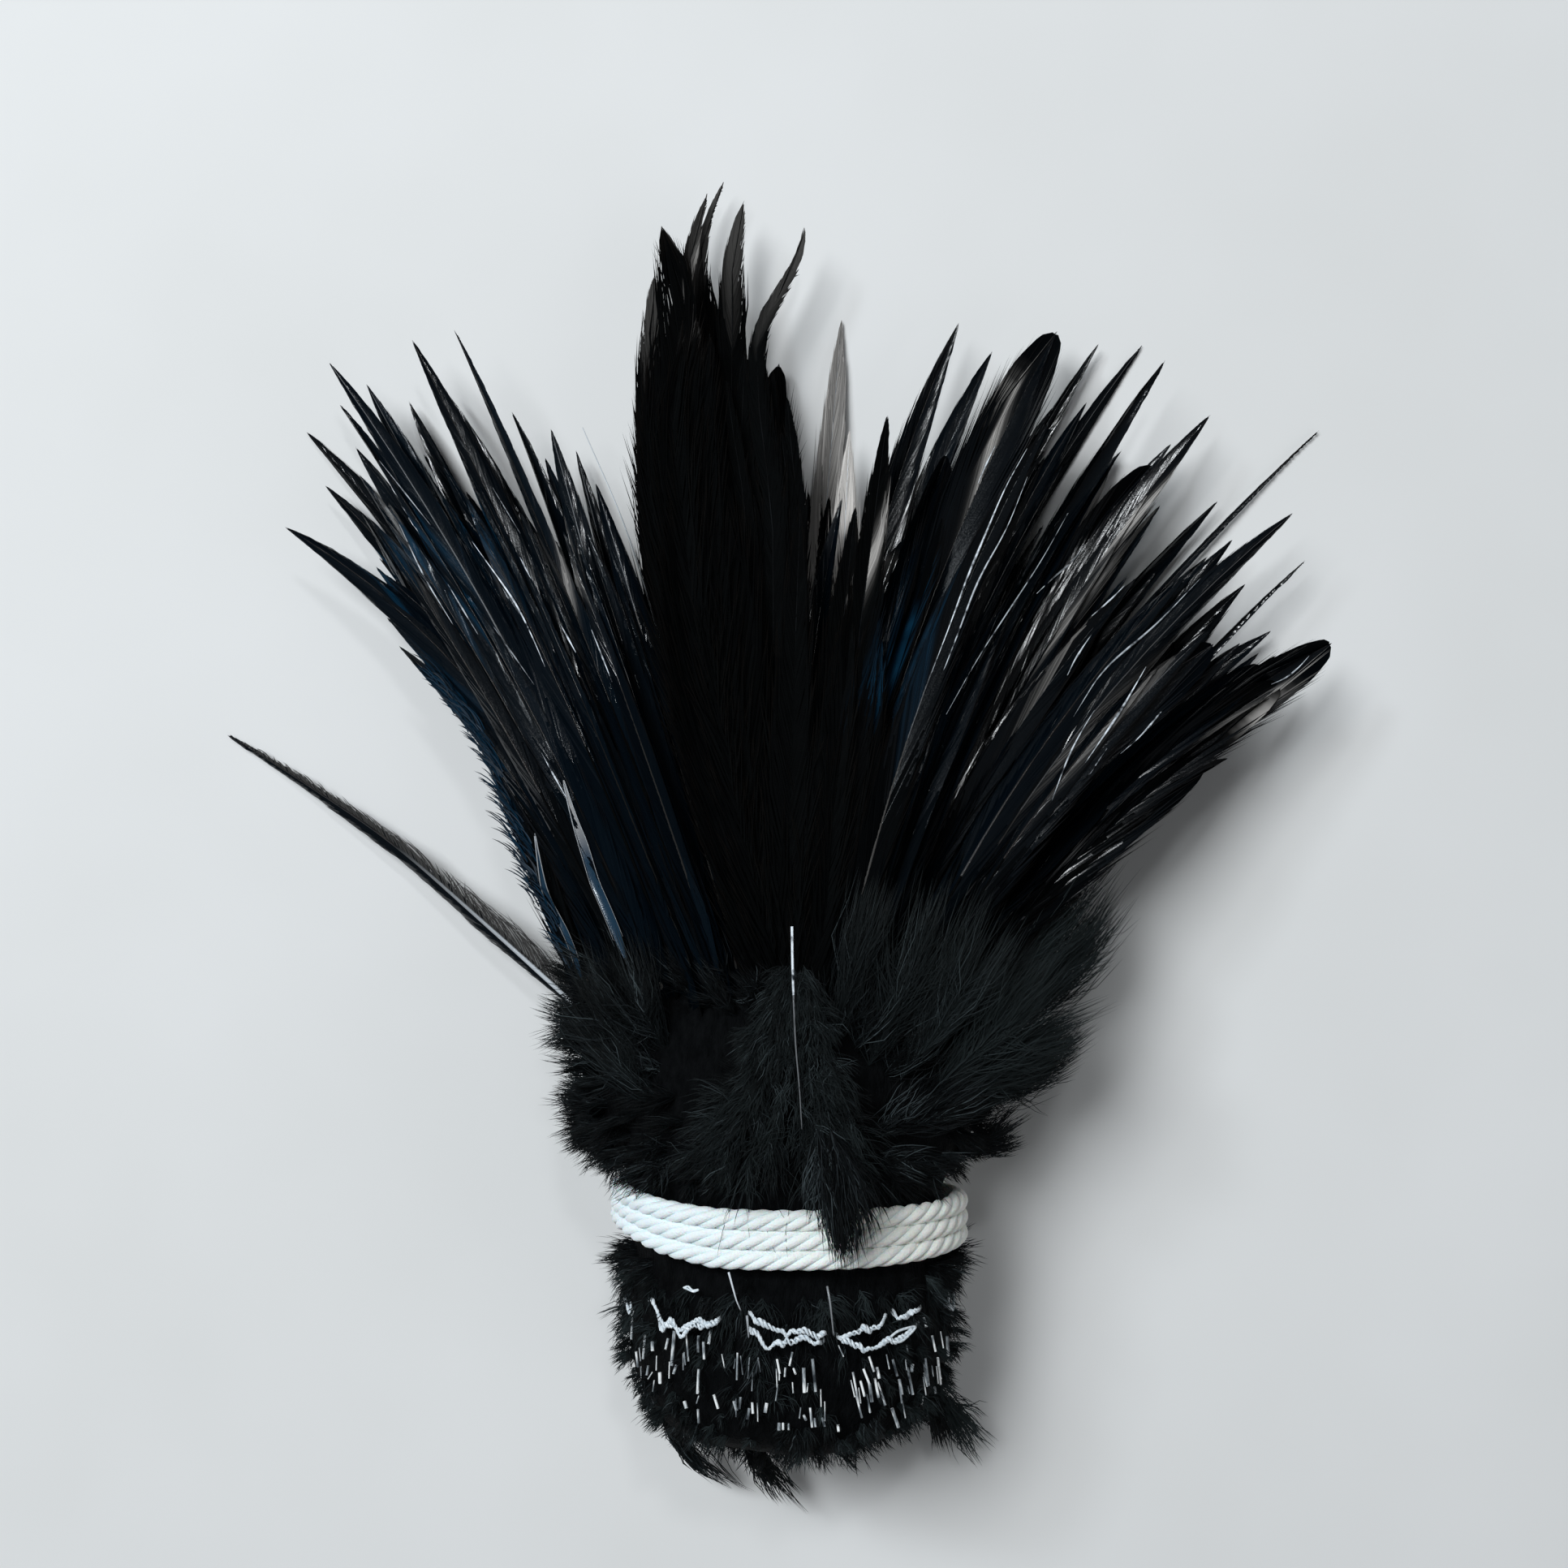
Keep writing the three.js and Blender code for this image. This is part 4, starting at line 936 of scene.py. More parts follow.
# The stray hackle: one feather that has slipped out on the left and lies half on its edge. Its lower
# side is dense and black, its upper side thin and brown, and its quill is bare and silvery at the root.
STRAY_POINTS = [
    (-27.5, 5.4, 9.2), (-30.4, 7.6, 8.5), (-42.5, 18.2, 7), (-55.6, 29.1, 4.6), (-68.5, 37.6, 2.2),
    (-80.1, 44.7, 0.6),
]
# half-widths of its dense and its thin side, by the share of its length
STRAY_DENSE = ([0, 0.1, 0.3, 0.5, 0.7, 0.9, 1], [0.3, 1.2, 2.0, 1.9, 1.5, 0.8, 0.1])
STRAY_THIN = ([0, 0.06, 0.2, 0.32, 0.5, 0.7, 0.9, 1], [1.0, 5.0, 4.6, 2.6, 1.7, 1.2, 0.6, 0.1])
STRAY_BACKING = 0.45

rng = np.random.default_rng(31)
stray_line = Line(np.array(STRAY_POINTS) * MM, roll=0.25, twist=-0.2)
joined("stray_feather", [
    vane(stray_line, tapering(*STRAY_DENSE, MM), rng, spacing=0.3 * MM, slant=0.3, steps=4, fold=0.5,
         crown=0.04, ragged=0.05, splits=4, barb_width=0.34, sides=(-1,), blue=0.05, pale=0.0),
    vane(stray_line, tapering(*STRAY_THIN, MM), rng, spacing=0.34 * MM, slant=0.42, steps=4, fold=-0.2,
         crown=0.03, ragged=0.2, splits=9, split_depth=0.03, barb_width=0.15, sides=(1,), shade=0.5,
         blue=0.0, pale=0.07),
    vane(stray_line, tapering(*STRAY_DENSE, STRAY_BACKING * MM), rng, spacing=0.3 * MM, slant=0.3, steps=3,
         fold=0.3, ragged=0.05, sides=(1,), blue=0.05, pale=0.0),
    shaft(stray_line, 0, 0.97, 0.75 * MM, 0.12 * MM, rings=24, blue=0.05, bare=1.0),
], [glossy_vane, dark_quill], "vane", "stray_hackle")


# The down ruff: below its blade every feather is fluffy, and above the cord these soft parts swell out of
# the roll. Each tuft is a lock of limp black barbs that grows on a quill inside and lies over the next one.
# How the tufts lie, by place: x, y, heading and length
RUFF_FLOW = [
    (-28, 5, 158, 6), (-28, -2, 180, 5), (-26, -8, 200, 5), (-24, -12, 222, 4.5), (-28, 13, 120, 10),
    (-17, 9, 140, 10), (-12, -7, 200, 7), (-7, 18, 110, 6), (-4, 8, 130, 7), (3, -11, 262, 4),
    (-12, -12, 225, 4), (12, 8, 62, 13), (16, -4, 45, 11), (9, 18, 68, 14), (28, 10, 48, 12),
    (24, 0, 36, 8), (24, -9, 330, 3.5), (22, -13, 300, 3), (26, -5, 0, 4),
]
# how many tufts, from angle to angle round the roll, from y to y, and the number and thickness of their barbs
RUFF_TUFTS = [
    (200, -28, 208, -11.4, 13, 68, 0.09),
    (40, 150, 205, -12, 6, 68, 0.09),
    (40, -25, 200, -12.6, -10, 50, 0.09),
    (24, 160, 200, -10, -3, 50, 0.11),
]
# how deep in the roll a tuft's foot is, and a hollow that has none: x, y, size, and the z that it lies above
TUFT_FOOT = 2.0
DARK_HOLLOW = (-11, 5, 5.0, 25)


def roll_section(y):
    """Half-width, middle height and half-height of the roll at y, in millimetres."""
    rows = np.array(ROLL_SECTIONS)
    half, low, high = (np.interp(y, rows[:, 0], rows[:, k]) for k in (1, 2, 3))
    low = max(low, 0)
    return half, (low + high) / 2, (high - low) / 2


def on_roll(angle, y):
    """The roll's surface at an angle round it, in millimetres, and its outward direction."""
    half, middle, tall = roll_section(y)
    point = np.array([half * math.cos(angle), y, middle + tall * math.sin(angle)])
    return point, unit(np.array([math.cos(angle) / half, 0, math.sin(angle) / tall]))


def flow_at(flow, x, y):
    """Heading, in radians, and length of the tufts at a place: the nearest rows of the flow count most."""
    rows = np.array(flow, float)
    weight = 1 / ((rows[:, 0] - x) ** 2 + (rows[:, 1] - y) ** 2 + 4) ** 1.5
    turn = np.radians(rows[:, 2])
    way = math.atan2(np.sum(weight * np.sin(turn)), np.sum(weight * np.cos(turn)))
    return way, np.sum(weight * rows[:, 3]) / np.sum(weight)


def lock(points, wide, count, rng, thick=0.1, clumps=5, pale=0.0):
    """A lock of soft barbs along points, in millimetres, that clings together in a few wisps."""
    line = Line(np.array(points) * MM, samples=20)
    start = rng.uniform(0, 0.5, count)
    # each wisp has its own side, height, end and shade, and its barbs stray a little from those
    wisp = rng.integers(0, clumps, count)
    wisp_side = rng.normal(0, 0.75, clumps)
    wisp_rise = rng.normal(0, 0.35, clumps)
    wisp_end = rng.uniform(0.65, 1.1, clumps)
    wisp_shade = rng.normal(-0.35, 0.5, clumps)
    side = wisp_side[wisp] + rng.normal(0, 0.32, count)
    rise = wisp_rise[wisp] + rng.normal(0, 0.2, count)
    end = wisp_end[wisp] * rng.uniform(0.72, 1.08, count)
    root, _, across, upper = line.at(start)
    end_place, end_heading, end_across, end_upper = line.at(end)
    past_end = np.maximum(end - 1, 0)[:, None] * line.length
    tip_out = end_across * side[:, None] + end_upper * rise[:, None]
    tip = end_place + end_heading * past_end + tip_out * wide * MM
    stretch = np.linalg.norm(tip - root, axis=1)[:, None]
    bend = root + (tip - root) * 0.5 + across * (side * 0.35 * wide * MM)[:, None] + upper * 0.10 * stretch
    facing = unit(upper + rng.normal(0, 0.45, upper.shape))
    sway = rng.normal(0, 1, root.shape) * 0.035 * stretch
    shade = np.clip(wisp_shade[wisp] + rng.normal(0, 0.4, count), -1, 1)
    none = np.zeros(count)
    return ribbons(root, bend, tip, thick * MM * rng.uniform(0.7, 1.3, count), facing, facing, 5, sway=sway,
                   place=start, shade=shade, bare=none, blue=none, pale=none + pale)


def tufts(count, low_angle, high_angle, low_y, high_y, barbs, thick, flow, rng, palest=0.0):
    """Tufts that grow out of the roll and lie over as the flow says."""
    patches = []
    hollow_x, hollow_y, hollow_size, hollow_z = DARK_HOLLOW
    for _ in range(count):
        angle, y = math.radians(rng.uniform(low_angle, high_angle)), rng.uniform(low_y, high_y)
        point, normal = on_roll(angle, y)
        if point[2] > hollow_z and math.hypot(point[0] - hollow_x, y - hollow_y) < hollow_size:
            continue
        pale = palest and palest * rng.uniform() ** 2
        way, length = flow_at(flow, point[0], y)
        way += rng.normal(0, 0.35)
        length *= rng.uniform(0.7, 1.2)
        lie = np.array([math.cos(way), math.sin(way), 0])
        lie = unit(lie - normal * min(0.0, float(lie @ normal)))
        # it comes out of the roll, rises a little and lies down again
        lift = rng.uniform(0.05, 0.16) * length
        points = [point - TUFT_FOOT * normal, point + lie * 0.25 * length + normal * 0.6,
                  point + lie * 0.6 * length + normal * lift, point + lie * length + normal * 0.7 * lift]
        patches.append(lock(points, rng.uniform(0.2, 0.32) * length, barbs, rng, thick=thick, pale=pale))
    return patches


down_fluff, tree, shader = new_material("charcoal_down", 0.6, 0.2)
# the barbs' shade runs from near black to grey: partly the down's own uneven tone, partly painted highlights
# on strands that catch the light
fluff = ramp(tree, spread(tree, attribute(tree, "shade"), 0.0, 1.0, -1, 1), (0.0, (0.001, 0.0012, 0.0014)),
             (0.5, (0.003, 0.004, 0.0045)), (0.72, (0.009, 0.0115, 0.013)), (1.0, (0.044, 0.056, 0.060)))
fluff = mixed(tree, spread(tree, attribute(tree, "along"), 0.0, 0.5, 0.6, 1.0), fluff, (0.010, 0.011, 0.011))
fluff = mixed(tree, attribute(tree, "pale"), fluff, (0.028, 0.038, 0.039))
tree.links.new(fluff, shader.inputs["Base Color"])
tree.links.new(spread(tree, noise(tree, 3000), 0.55, 0.85, 0.3, 0.7), shader.inputs["Roughness"])
shader.inputs["Sheen Weight"].default_value = 0.02
shader.inputs["Sheen Tint"].default_value = (0.6, 0.8, 0.85, 1)
shader.inputs["Sheen Roughness"].default_value = 0.5

rng = np.random.default_rng(7)
patches = []
for row in RUFF_TUFTS:
    patches += tufts(*row, RUFF_FLOW, rng)
joined("down_ruff", patches, [down_fluff], "down")


# The long soft down: the lowest, softest parts of the outer feathers stand out of the ruff in long locks,
# most of them on the right, and single barbs of theirs have come loose and lie over the cord.
# Points of each lock from foot to tip, its half-width and how pale it is
LONG_SOFT_LOCKS = [
    ([(17, -4, 30), (24, 1, 31), (31, 5, 29), (37, 7, 26)], 3.3, 0.3),
    ([(18, -2, 32), (24, 4, 34), (29, 10, 33), (34, 16, 30)], 3.3, 0.3),
    ([(20, -7, 24), (27, -3, 25), (34, 1, 22), (39, 4, 17)], 3.025, 0.25),
    ([(14, 0, 34), (19, 7, 36), (23, 14, 35.5), (27, 22, 32)], 3.025, 0.2),
    ([(10, 2, 35), (13, 9, 37), (16, 16, 36.5), (18, 24, 34)], 2.75, 0.15),
    ([(21, -8, 14), (28, -4, 14), (34, 0, 11), (39, 4, 8)], 2.75, 0.15),
    ([(5, 4, 35.5), (7, 11, 37.5), (9, 18, 37), (11, 24, 35)], 2.475, 0.1),
    ([(-19, -1, 28), (-22, 5, 32), (-24, 10, 31.5), (-26, 16, 29)], 2.53, 0.05),
    ([(-15, 2, 30), (-18, 8, 34.5), (-20, 13, 34), (-21, 18, 32)], 2.53, 0.05),
    ([(-16, -4, 29), (-20, 0, 33.5), (-23, 4, 32.5), (-26, 8, 29)], 2.53, 0.12),
    ([(17, -1, 27), (25, 2, 31), (33, 4.4, 28.5), (40.5, 6.6, 25)], 1.87, 0.4),
    ([(18, -3, 26), (25, -1, 30), (31, 1.4, 28), (36.5, 3.6, 25)], 1.87, 0.3),
    ([(21, -11, 24), (25, -10, 24), (28.5, -8.6, 22), (31.5, -7.4, 19)], 1.43, 0.0),
    ([(26, 4, 22), (32.5, 10, 22), (38, 16.5, 20), (43, 24, 17)], 3.52, 0.25),
    ([(24, 8, 26), (30.5, 14, 25), (36, 20, 22), (41, 27, 19)], 3.52, 0.3),
    ([(26, 1, 14), (33, 7, 14), (38.5, 13, 12), (43.5, 21, 10)], 2.97, 0.15),
]
LONG_SOFT_BARBS = 400
LOOSE_BARBS = 20
LOOSE_THICK = 0.065
# where the loose barbs start, x and y from..to, and the arch of the roll there: its y, half-width, height
LOOSE_X = (-21, 21)
LOOSE_Y = (-14, -11)
LOOSE_ARCH = (-12, 27, 17)

patches = []
for points, wide, pale in LONG_SOFT_LOCKS:
    patches.append(lock(points, wide, LONG_SOFT_BARBS, rng, thick=0.09, clumps=14, pale=pale))
x, y = rng.uniform(*LOOSE_X, LOOSE_BARBS), rng.uniform(*LOOSE_Y, LOOSE_BARBS)
arch_y, arch_half, arch_height = LOOSE_ARCH
foot = np.column_stack([x, y, roll_section(arch_y)[1] + arch_height * np.sqrt(1 - (x / arch_half) ** 2)])
reach = rng.uniform(3, 11, LOOSE_BARBS)
tip = foot + np.column_stack([rng.normal(0, 1.5, LOOSE_BARBS), -reach, 3.0 - 0.012 * x**2])
bend = (foot + tip) / 2 + np.column_stack([rng.normal(0, 0.8, LOOSE_BARBS), 0 * x, 2.4 + 0 * x])
none = np.zeros(LOOSE_BARBS)
upward = np.tile((0.0, 0.0, 1.0), (LOOSE_BARBS, 1))
patches.append(ribbons(foot * MM, bend * MM, tip * MM, none + LOOSE_THICK * MM, upward, upward, 5,
                       place=none, shade=none - 0.5, bare=none, blue=none, pale=none))
joined("long_soft_down", patches, [down_fluff], "down")


# The butt: below the cord the same black down swells out again. It hangs back and out to the sides, covers
# the end of the roll, and a few wisps reach out of it.
BUTT_FLOW = [
    (-22, -27, 255, 4), (0, -27, 270, 6), (22, -27, 285, 4), (-22, -42, 250, 2.6), (0, -46, 268, 4.5),
    (22, -42, 290, 2.8), (-12, -46, 258, 2.4), (14, -48, 282, 2.2),
]
BESIDE_CORD_FLOW = [(-22, -25, 205, 4.6), (22, -25, -25, 4.6)]
# as for the ruff, and then the flow and how pale the palest tufts are
BUTT_TUFTS = [
    ((230, -32, 212, -46, -26.5, 36, 0.09), BUTT_FLOW, 0.7),
    ((60, -20, 200, -27.5, -25.6, 44, 0.1), BUTT_FLOW, 0.5),
    ((40, 0, 360, -46, -44, 38, 0.09), BUTT_FLOW, 0.7),
    ((20, 146, 204, -26, -24, 40, 0.09), BESIDE_CORD_FLOW, 0.0),
    ((20, -24, 34, -26, -24, 40, 0.09), BESIDE_CORD_FLOW, 0.0),
]
# points of each wisp from foot to tip, its half-width and how pale it is
BUTT_WISPS = [
    ([(-19, -46, 9), (-16.8, -52.8, 8), (-13, -57.6, 6), (-6.7, -61.6, 4)], 0.5, 0.0),
    ([(-8.5, -46, 12), (-6, -53, 9), (-2.4, -59.6, 6), (2.4, -64.6, 4)], 0.8, 0.05),
    ([(19, -42, 12), (19.6, -47, 10), (20.6, -51, 8), (21.5, -55, 6)], 1.0, 0.0),
    ([(18.6, -43.5, 10), (22, -48.2, 8.5), (25, -52, 6.5), (27.6, -55.4, 4.5)], 2.2, 0.6),
    ([(2, -45, 18), (4, -49, 15), (6.5, -53, 11), (8.5, -55.5, 8)], 2.6, 0.0),
    ([(8, -45, 16), (10, -49, 13), (12, -52, 9), (13, -54.5, 6)], 2.6, 0.0),
    ([(-12, -45, 16), (-12.5, -48, 13), (-13, -51, 9), (-14, -53, 6)], 2.4, 0.0),
]
WISP_BARBS = 240
# the tufts on the roll's end: how many, the height of its middle, its half-width and half-height, and the y
# of its middle with how far its rim is drawn in
END_TUFTS = 90
END_HEIGHT = 18
END_SIZE = (18, 16)
END_Y = -50.2
END_RIM = 6.5

rng = np.random.default_rng(8)
patches = []
for row, flow, palest in BUTT_TUFTS:
    patches += tufts(*row, flow, rng, palest)
for points, wide, pale in BUTT_WISPS:
    patches.append(lock(points, wide, WISP_BARBS, rng, thick=0.13, clumps=8, pale=pale))
for _ in range(END_TUFTS):
    angle = rng.uniform(0, 2 * math.pi)
    share = 0.97 * math.sqrt(rng.uniform())
    c, s = math.cos(angle), math.sin(angle)
    point = np.array([
        END_SIZE[0] * share * c, END_Y + END_RIM * share**3, END_HEIGHT + END_SIZE[1] * share * s])
    normal = unit(np.array([0.6 * share * c, -1, 0.6 * share * s]))
    lie = np.array([0.4 * c, -0.25, 0.3 * s - 0.6]) + rng.normal(0, 0.2, 3)
    lie *= rng.uniform(2.6, 5) / np.linalg.norm(lie)
    points = [point - TUFT_FOOT * normal, point + 0.25 * lie + 0.8 * normal, point + 0.6 * lie + 1.4 * normal,
              point + lie + 1.1 * normal]
    patches.append(lock(points, 1.5, 36, rng, thick=0.12))
joined("down_butt", patches, [down_fluff], "down")


# The turned feather: a small downy one that lies upside down on the ruff, held by nothing but the down under
# it. Its bare silvery quill, with painted glints broken along it, points up the fan, and its barbs sweep back
# over the cord as a tail.
TURNED_POINTS = [(0.3, 19.8, 38.9), (0.4, 14, 39.8), (0.7, 6, 40.7), (1.2, 0, 41), (1.5, -5, 41)]
# the share of its quill that is bare, and the place of the quill with painted glints among its materials
TURNED_BARE = 0.34
TURNED_GLINT = 2
# y of the cape's sections, and how far it reaches to the left and to the right of the quill there
CAPE_Y = [-12.4, -5, -1, 3.4, 9.6, 16]
CAPE_LEFT = [15.0, 12.0, 8.7, 6.4, 4.4, 1.6]
CAPE_RIGHT = [8.6, 8.2, 7.2, 5.4, 3.4, 1.2]
# how many locks it has, from y to y, their shares to the left and right, and their length by y
CAPE_LOCKS = 250
CAPE_ALONG = (-9, 15)
CAPE_SHARES = [0.58, 0.42]
CAPE_LENGTH = ([-8, 14], [6.5, 4.4])
# x of its middle, and how round it is across
CAPE_MIDDLE = 0.8
CAPE_ROUND = 0.021
# y and height of the cape along its middle
CAPE_TOP = ([-12, 0, 10, 18], [39.4, 40.2, 39.4, 38.2])
# how far along a lock its points are, and how high they stand on the cape
CAPE_RISE = [(0, -1.5), (0.25, 0.0), (0.6, 0.5), (1, 0.1)]
# points of the tail's locks, their half-width, the number and thickness of their barbs, and their wisps
TAIL_LOCKS = [
    ([(5.0, -5, 40.4), (6.3, -11, 41), (6.9, -16, 41.3), (7.1, -20.6, 40.8)], 2.6, 520, 0.12, 12),
    ([(3.4, -5, 40.2), (4.0, -11, 41.0), (5.0, -16, 41.5), (6.3, -21, 41.0)], 1.6, 300, 0.1, 11),
]

rng = np.random.default_rng(12)
patches = []
for _ in range(CAPE_LOCKS):
    y = rng.uniform(*CAPE_ALONG)
    side = rng.choice([-1, 1], p=CAPE_SHARES)
    outward = rng.uniform() ** 0.8
    edge = np.interp(y, CAPE_Y, CAPE_LEFT if side < 0 else CAPE_RIGHT)
    # the further out and the nearer the cord a lock lies, the more it turns away, most on the left
    spreading = (0.85 if side < 0 else 0.3) * outward**1.5 * np.interp(y, [-8, 12], [1.0, 0.5])
    turn = 0.12 + spreading + rng.normal(0, 0.2)
    length = np.interp(y, *CAPE_LENGTH) * rng.uniform(0.7, 1.25)
    points = []
    for share, rise in CAPE_RISE:
        x = CAPE_MIDDLE + side * (0.85 * edge * outward + math.sin(turn) * length * share)
        along = y - math.cos(turn) * length * share
        points.append((x, along, np.interp(along, *CAPE_TOP) - CAPE_ROUND * x**2 + rise))
    patches.append(lock(points, 0.3 * length, 26, rng, thick=0.08, clumps=4, pale=rng.uniform(0.0, 0.34)))
for points, wide, barbs, thick, wisps in TAIL_LOCKS:
    patches.append(lock(points, wide, barbs, rng, thick=thick, clumps=wisps))
turned_line = Line(np.array(TURNED_POINTS) * MM)
# its bare quill is silvery horn with painted glints broken along it
patches.append(shaft(
    turned_line, 0, TURNED_BARE, 0.36 * MM, 0.32 * MM, rings=16, finish=TURNED_GLINT, pale=1.0))
patches.append(shaft(turned_line, TURNED_BARE, 1.0, 0.26 * MM, 0.12 * MM, rings=16, pale=0.2))
joined("turned_feather_down", patches, [down_fluff, dark_quill, painted_glint_quill], "down", "turned_feather")


# The cut quills: on the back of the roll the quill ends of the strip stick out under the stitches. They
# are hollow and silvery, cut off straight, and each is one small tube.
# x, and y of the top and the cut end
CUT_QUILLS = [
    (-18.7, -33.6, -36.7), (-17.7, -34.2, -35.3), (-15.5, -33.3, -34.5), (-14.8, -32.3, -36.5),
    (-14.4, -36.5, -37.5), (-13.1, -32.2, -35.6), (-11.5, -32.4, -34.2), (-10.8, -33.0, -35.0),
    (-10.0, -31.5, -33.0), (-11.5, -36.5, -39.6), (-9.4, -39.6, -41.3), (-13.3, -41.2, -42.0),
    (-11.4, -41.9, -43.6), (-6.6, -33.9, -37.2), (-7.0, -40.2, -41.3), (-6.1, -39.6, -41.0),
    (-5.1, -41.0, -42.3), (-4.7, -40.2, -41.5), (-2.9, -40.2, -41.3), (-1.6, -34.5, -36.2),
    (-0.4, -35.6, -36.6), (0.4, -33.6, -35.2), (0.5, -35.7, -36.2), (1.7, -35.6, -38.6),
    (2.9, -34.5, -38.5), (-1.4, -42.8, -43.6), (-0.8, -42.8, -43.5), (-0.1, -42.9, -43.5),
    (1.8, -41.8, -42.2), (2.6, -40.8, -43.2), (3.1, -42.2, -43.2), (4.2, -42.2, -43.2), (6.2, -43.3, -44.0),
    (7.9, -36.5, -40.8), (9.0, -37.7, -39.6), (9.4, -36.2, -38.2), (9.7, -39.6, -41.9),
    (10.1, -34.7, -36.5), (10.2, -38.2, -40.5), (10.8, -37.6, -40.0), (11.0, -36.2, -37.5),
    (13.0, -35.5, -37.5), (14.0, -38.3, -40.2), (15.1, -37.0, -40.5), (15.8, -36.7, -37.5),
    (17.3, -31.3, -32.2), (17.3, -36.3, -39.5), (19.3, -37.0, -40.9), (20.5, -34.6, -37.2),
    (13.2, -42.2, -44.8), (19.0, -41.3, -42.2), (-19.8, -36.4, -38.4), (-16.6, -38.0, -39.4),
    (12.0, -40.2, -41.4), (-20.4, -31.3, -34.8), (8.4, -39.6, -42.4), (11.3, -38.2, -41.1),
    (13.9, -39.0, -41.4), (17.4, -36.9, -40.0), (18.4, -33.6, -35.6), (-18.2, -37.6, -38.8),
]
QUILL_SIDES = 8
QUILL_RADIUS = 0.2
QUILL_WALL = 0.09
QUILL_DEPTH = 0.35
# how far the cut end and the top stand out of the roll
CUT_STAND = 1.5
TOP_STAND = 0.9
# Thin ones show between them: how many, their share of the width, and their x, top and length from..to
THIN_QUILLS = 46
THIN_SHARE = 0.42
THIN_X = (-19.5, 20)
THIN_TOP = (-42, -33)
THIN_LENGTH = (0.8, 2.6)
# how far the quills of the right half slant outwards, as a share of their length, by x
SLANT = ([5, 9, 20], [0, 0.24, 0.1])

deselect()
bpy.ops.mesh.primitive_cylinder_add(vertices=QUILL_SIDES, radius=QUILL_RADIUS * MM, depth=MM,
                                    rotation=(math.pi / 2, 0, 0))
pattern = bpy.context.object
bpy.ops.object.transform_apply(location=False, rotation=True, scale=True)
bpy.ops.object.mode_set(mode="EDIT")
bpy.ops.mesh.select_all(action="DESELECT")
bpy.ops.mesh.select_mode(type="FACE")
bpy.ops.object.mode_set(mode="OBJECT")
for face in pattern.data.polygons:
    face.select = face.normal.y < -0.9
bpy.ops.object.mode_set(mode="EDIT")
bpy.ops.mesh.inset(thickness=QUILL_WALL * MM)
bpy.ops.mesh.extrude_region_move(TRANSFORM_OT_translate={"value": (0, QUILL_DEPTH * MM, 0)})
bpy.ops.object.mode_set(mode="OBJECT")


def roll_top(x, y):
    """Height of the roll's upper side, in millimetres."""
    half, middle, tall = roll_section(y)
    return middle + tall * math.sqrt(max(0.0, 1 - (x / half) ** 2))


rng = np.random.default_rng(5)
thin_quills = []
for _ in range(THIN_QUILLS):
    top = rng.uniform(*THIN_TOP)
    thin_quills.append((rng.uniform(*THIN_X), top, top - rng.uniform(*THIN_LENGTH)))
quills = []
for x, top, cut in CUT_QUILLS + thin_quills:
    quill = pattern.copy()
    quill.data = pattern.data.copy()
    bpy.context.scene.collection.objects.link(quill)
    start = np.array([x + rng.normal(0, 0.1), top, roll_top(x, top) + TOP_STAND])
    slanted_x = x + np.interp(x, *SLANT) * (top - cut)
    end = np.array([slanted_x + rng.normal(0, 0.2), cut, roll_top(x, cut) + CUT_STAND])
    away = end - start
    length = np.linalg.norm(away)
    wide = rng.uniform(0.6, 1.15) if len(quills) < len(CUT_QUILLS) else THIN_SHARE
    quill.scale = (wide, length, wide**0.5)
    quill.rotation_euler = (-math.asin(away[2] / length), 0, math.atan2(away[0], -away[1]))
    quill.location = tuple((start + end) / 2 * MM)
    quills.append(quill)
bpy.data.objects.remove(pattern)
deselect()
for quill in quills:
    quill.select_set(True)
bpy.context.view_layer.objects.active = quills[0]
bpy.ops.object.join()
bpy.ops.object.transform_apply(location=True, rotation=True, scale=True)
bpy.ops.object.shade_smooth_by_angle(angle=math.radians(50))
silver_quill, tree, shader = new_material("silver_quill", 0.25, 0.6)
horn = ramp(tree, noise(tree, 800, (1, 0.3, 1)), (0.34, (0.03, 0.036, 0.042)), (0.47, (0.26, 0.29, 0.31)),
            (0.58, (0.85, 0.87, 0.87)))
tree.links.new(horn, shader.inputs["Base Color"])
tree.links.new(spread(tree, noise(tree, 2500), 0.18, 0.4, 0.3, 0.7), shader.inputs["Roughness"])
bump(tree, shader, noise(tree, 3000, (1, 0.1, 1)), 0.04 * MM)
quills[0].data.materials.append(silver_quill)
finished(quills[0], "cut_quills", "down")


# The stitching: white cotton thread that strings the feathers side by side. It runs round the roll in chain
# stitches of two strands, each of two loose plies, and the down hides some of it.
THREAD_Y = -31.5
THREAD_WIDTH = 0.33
THREAD_LAY = 1.3
THREAD_ZIGZAG = 0.16
THREAD_PLIES = 2
THREAD_SIDES = 6
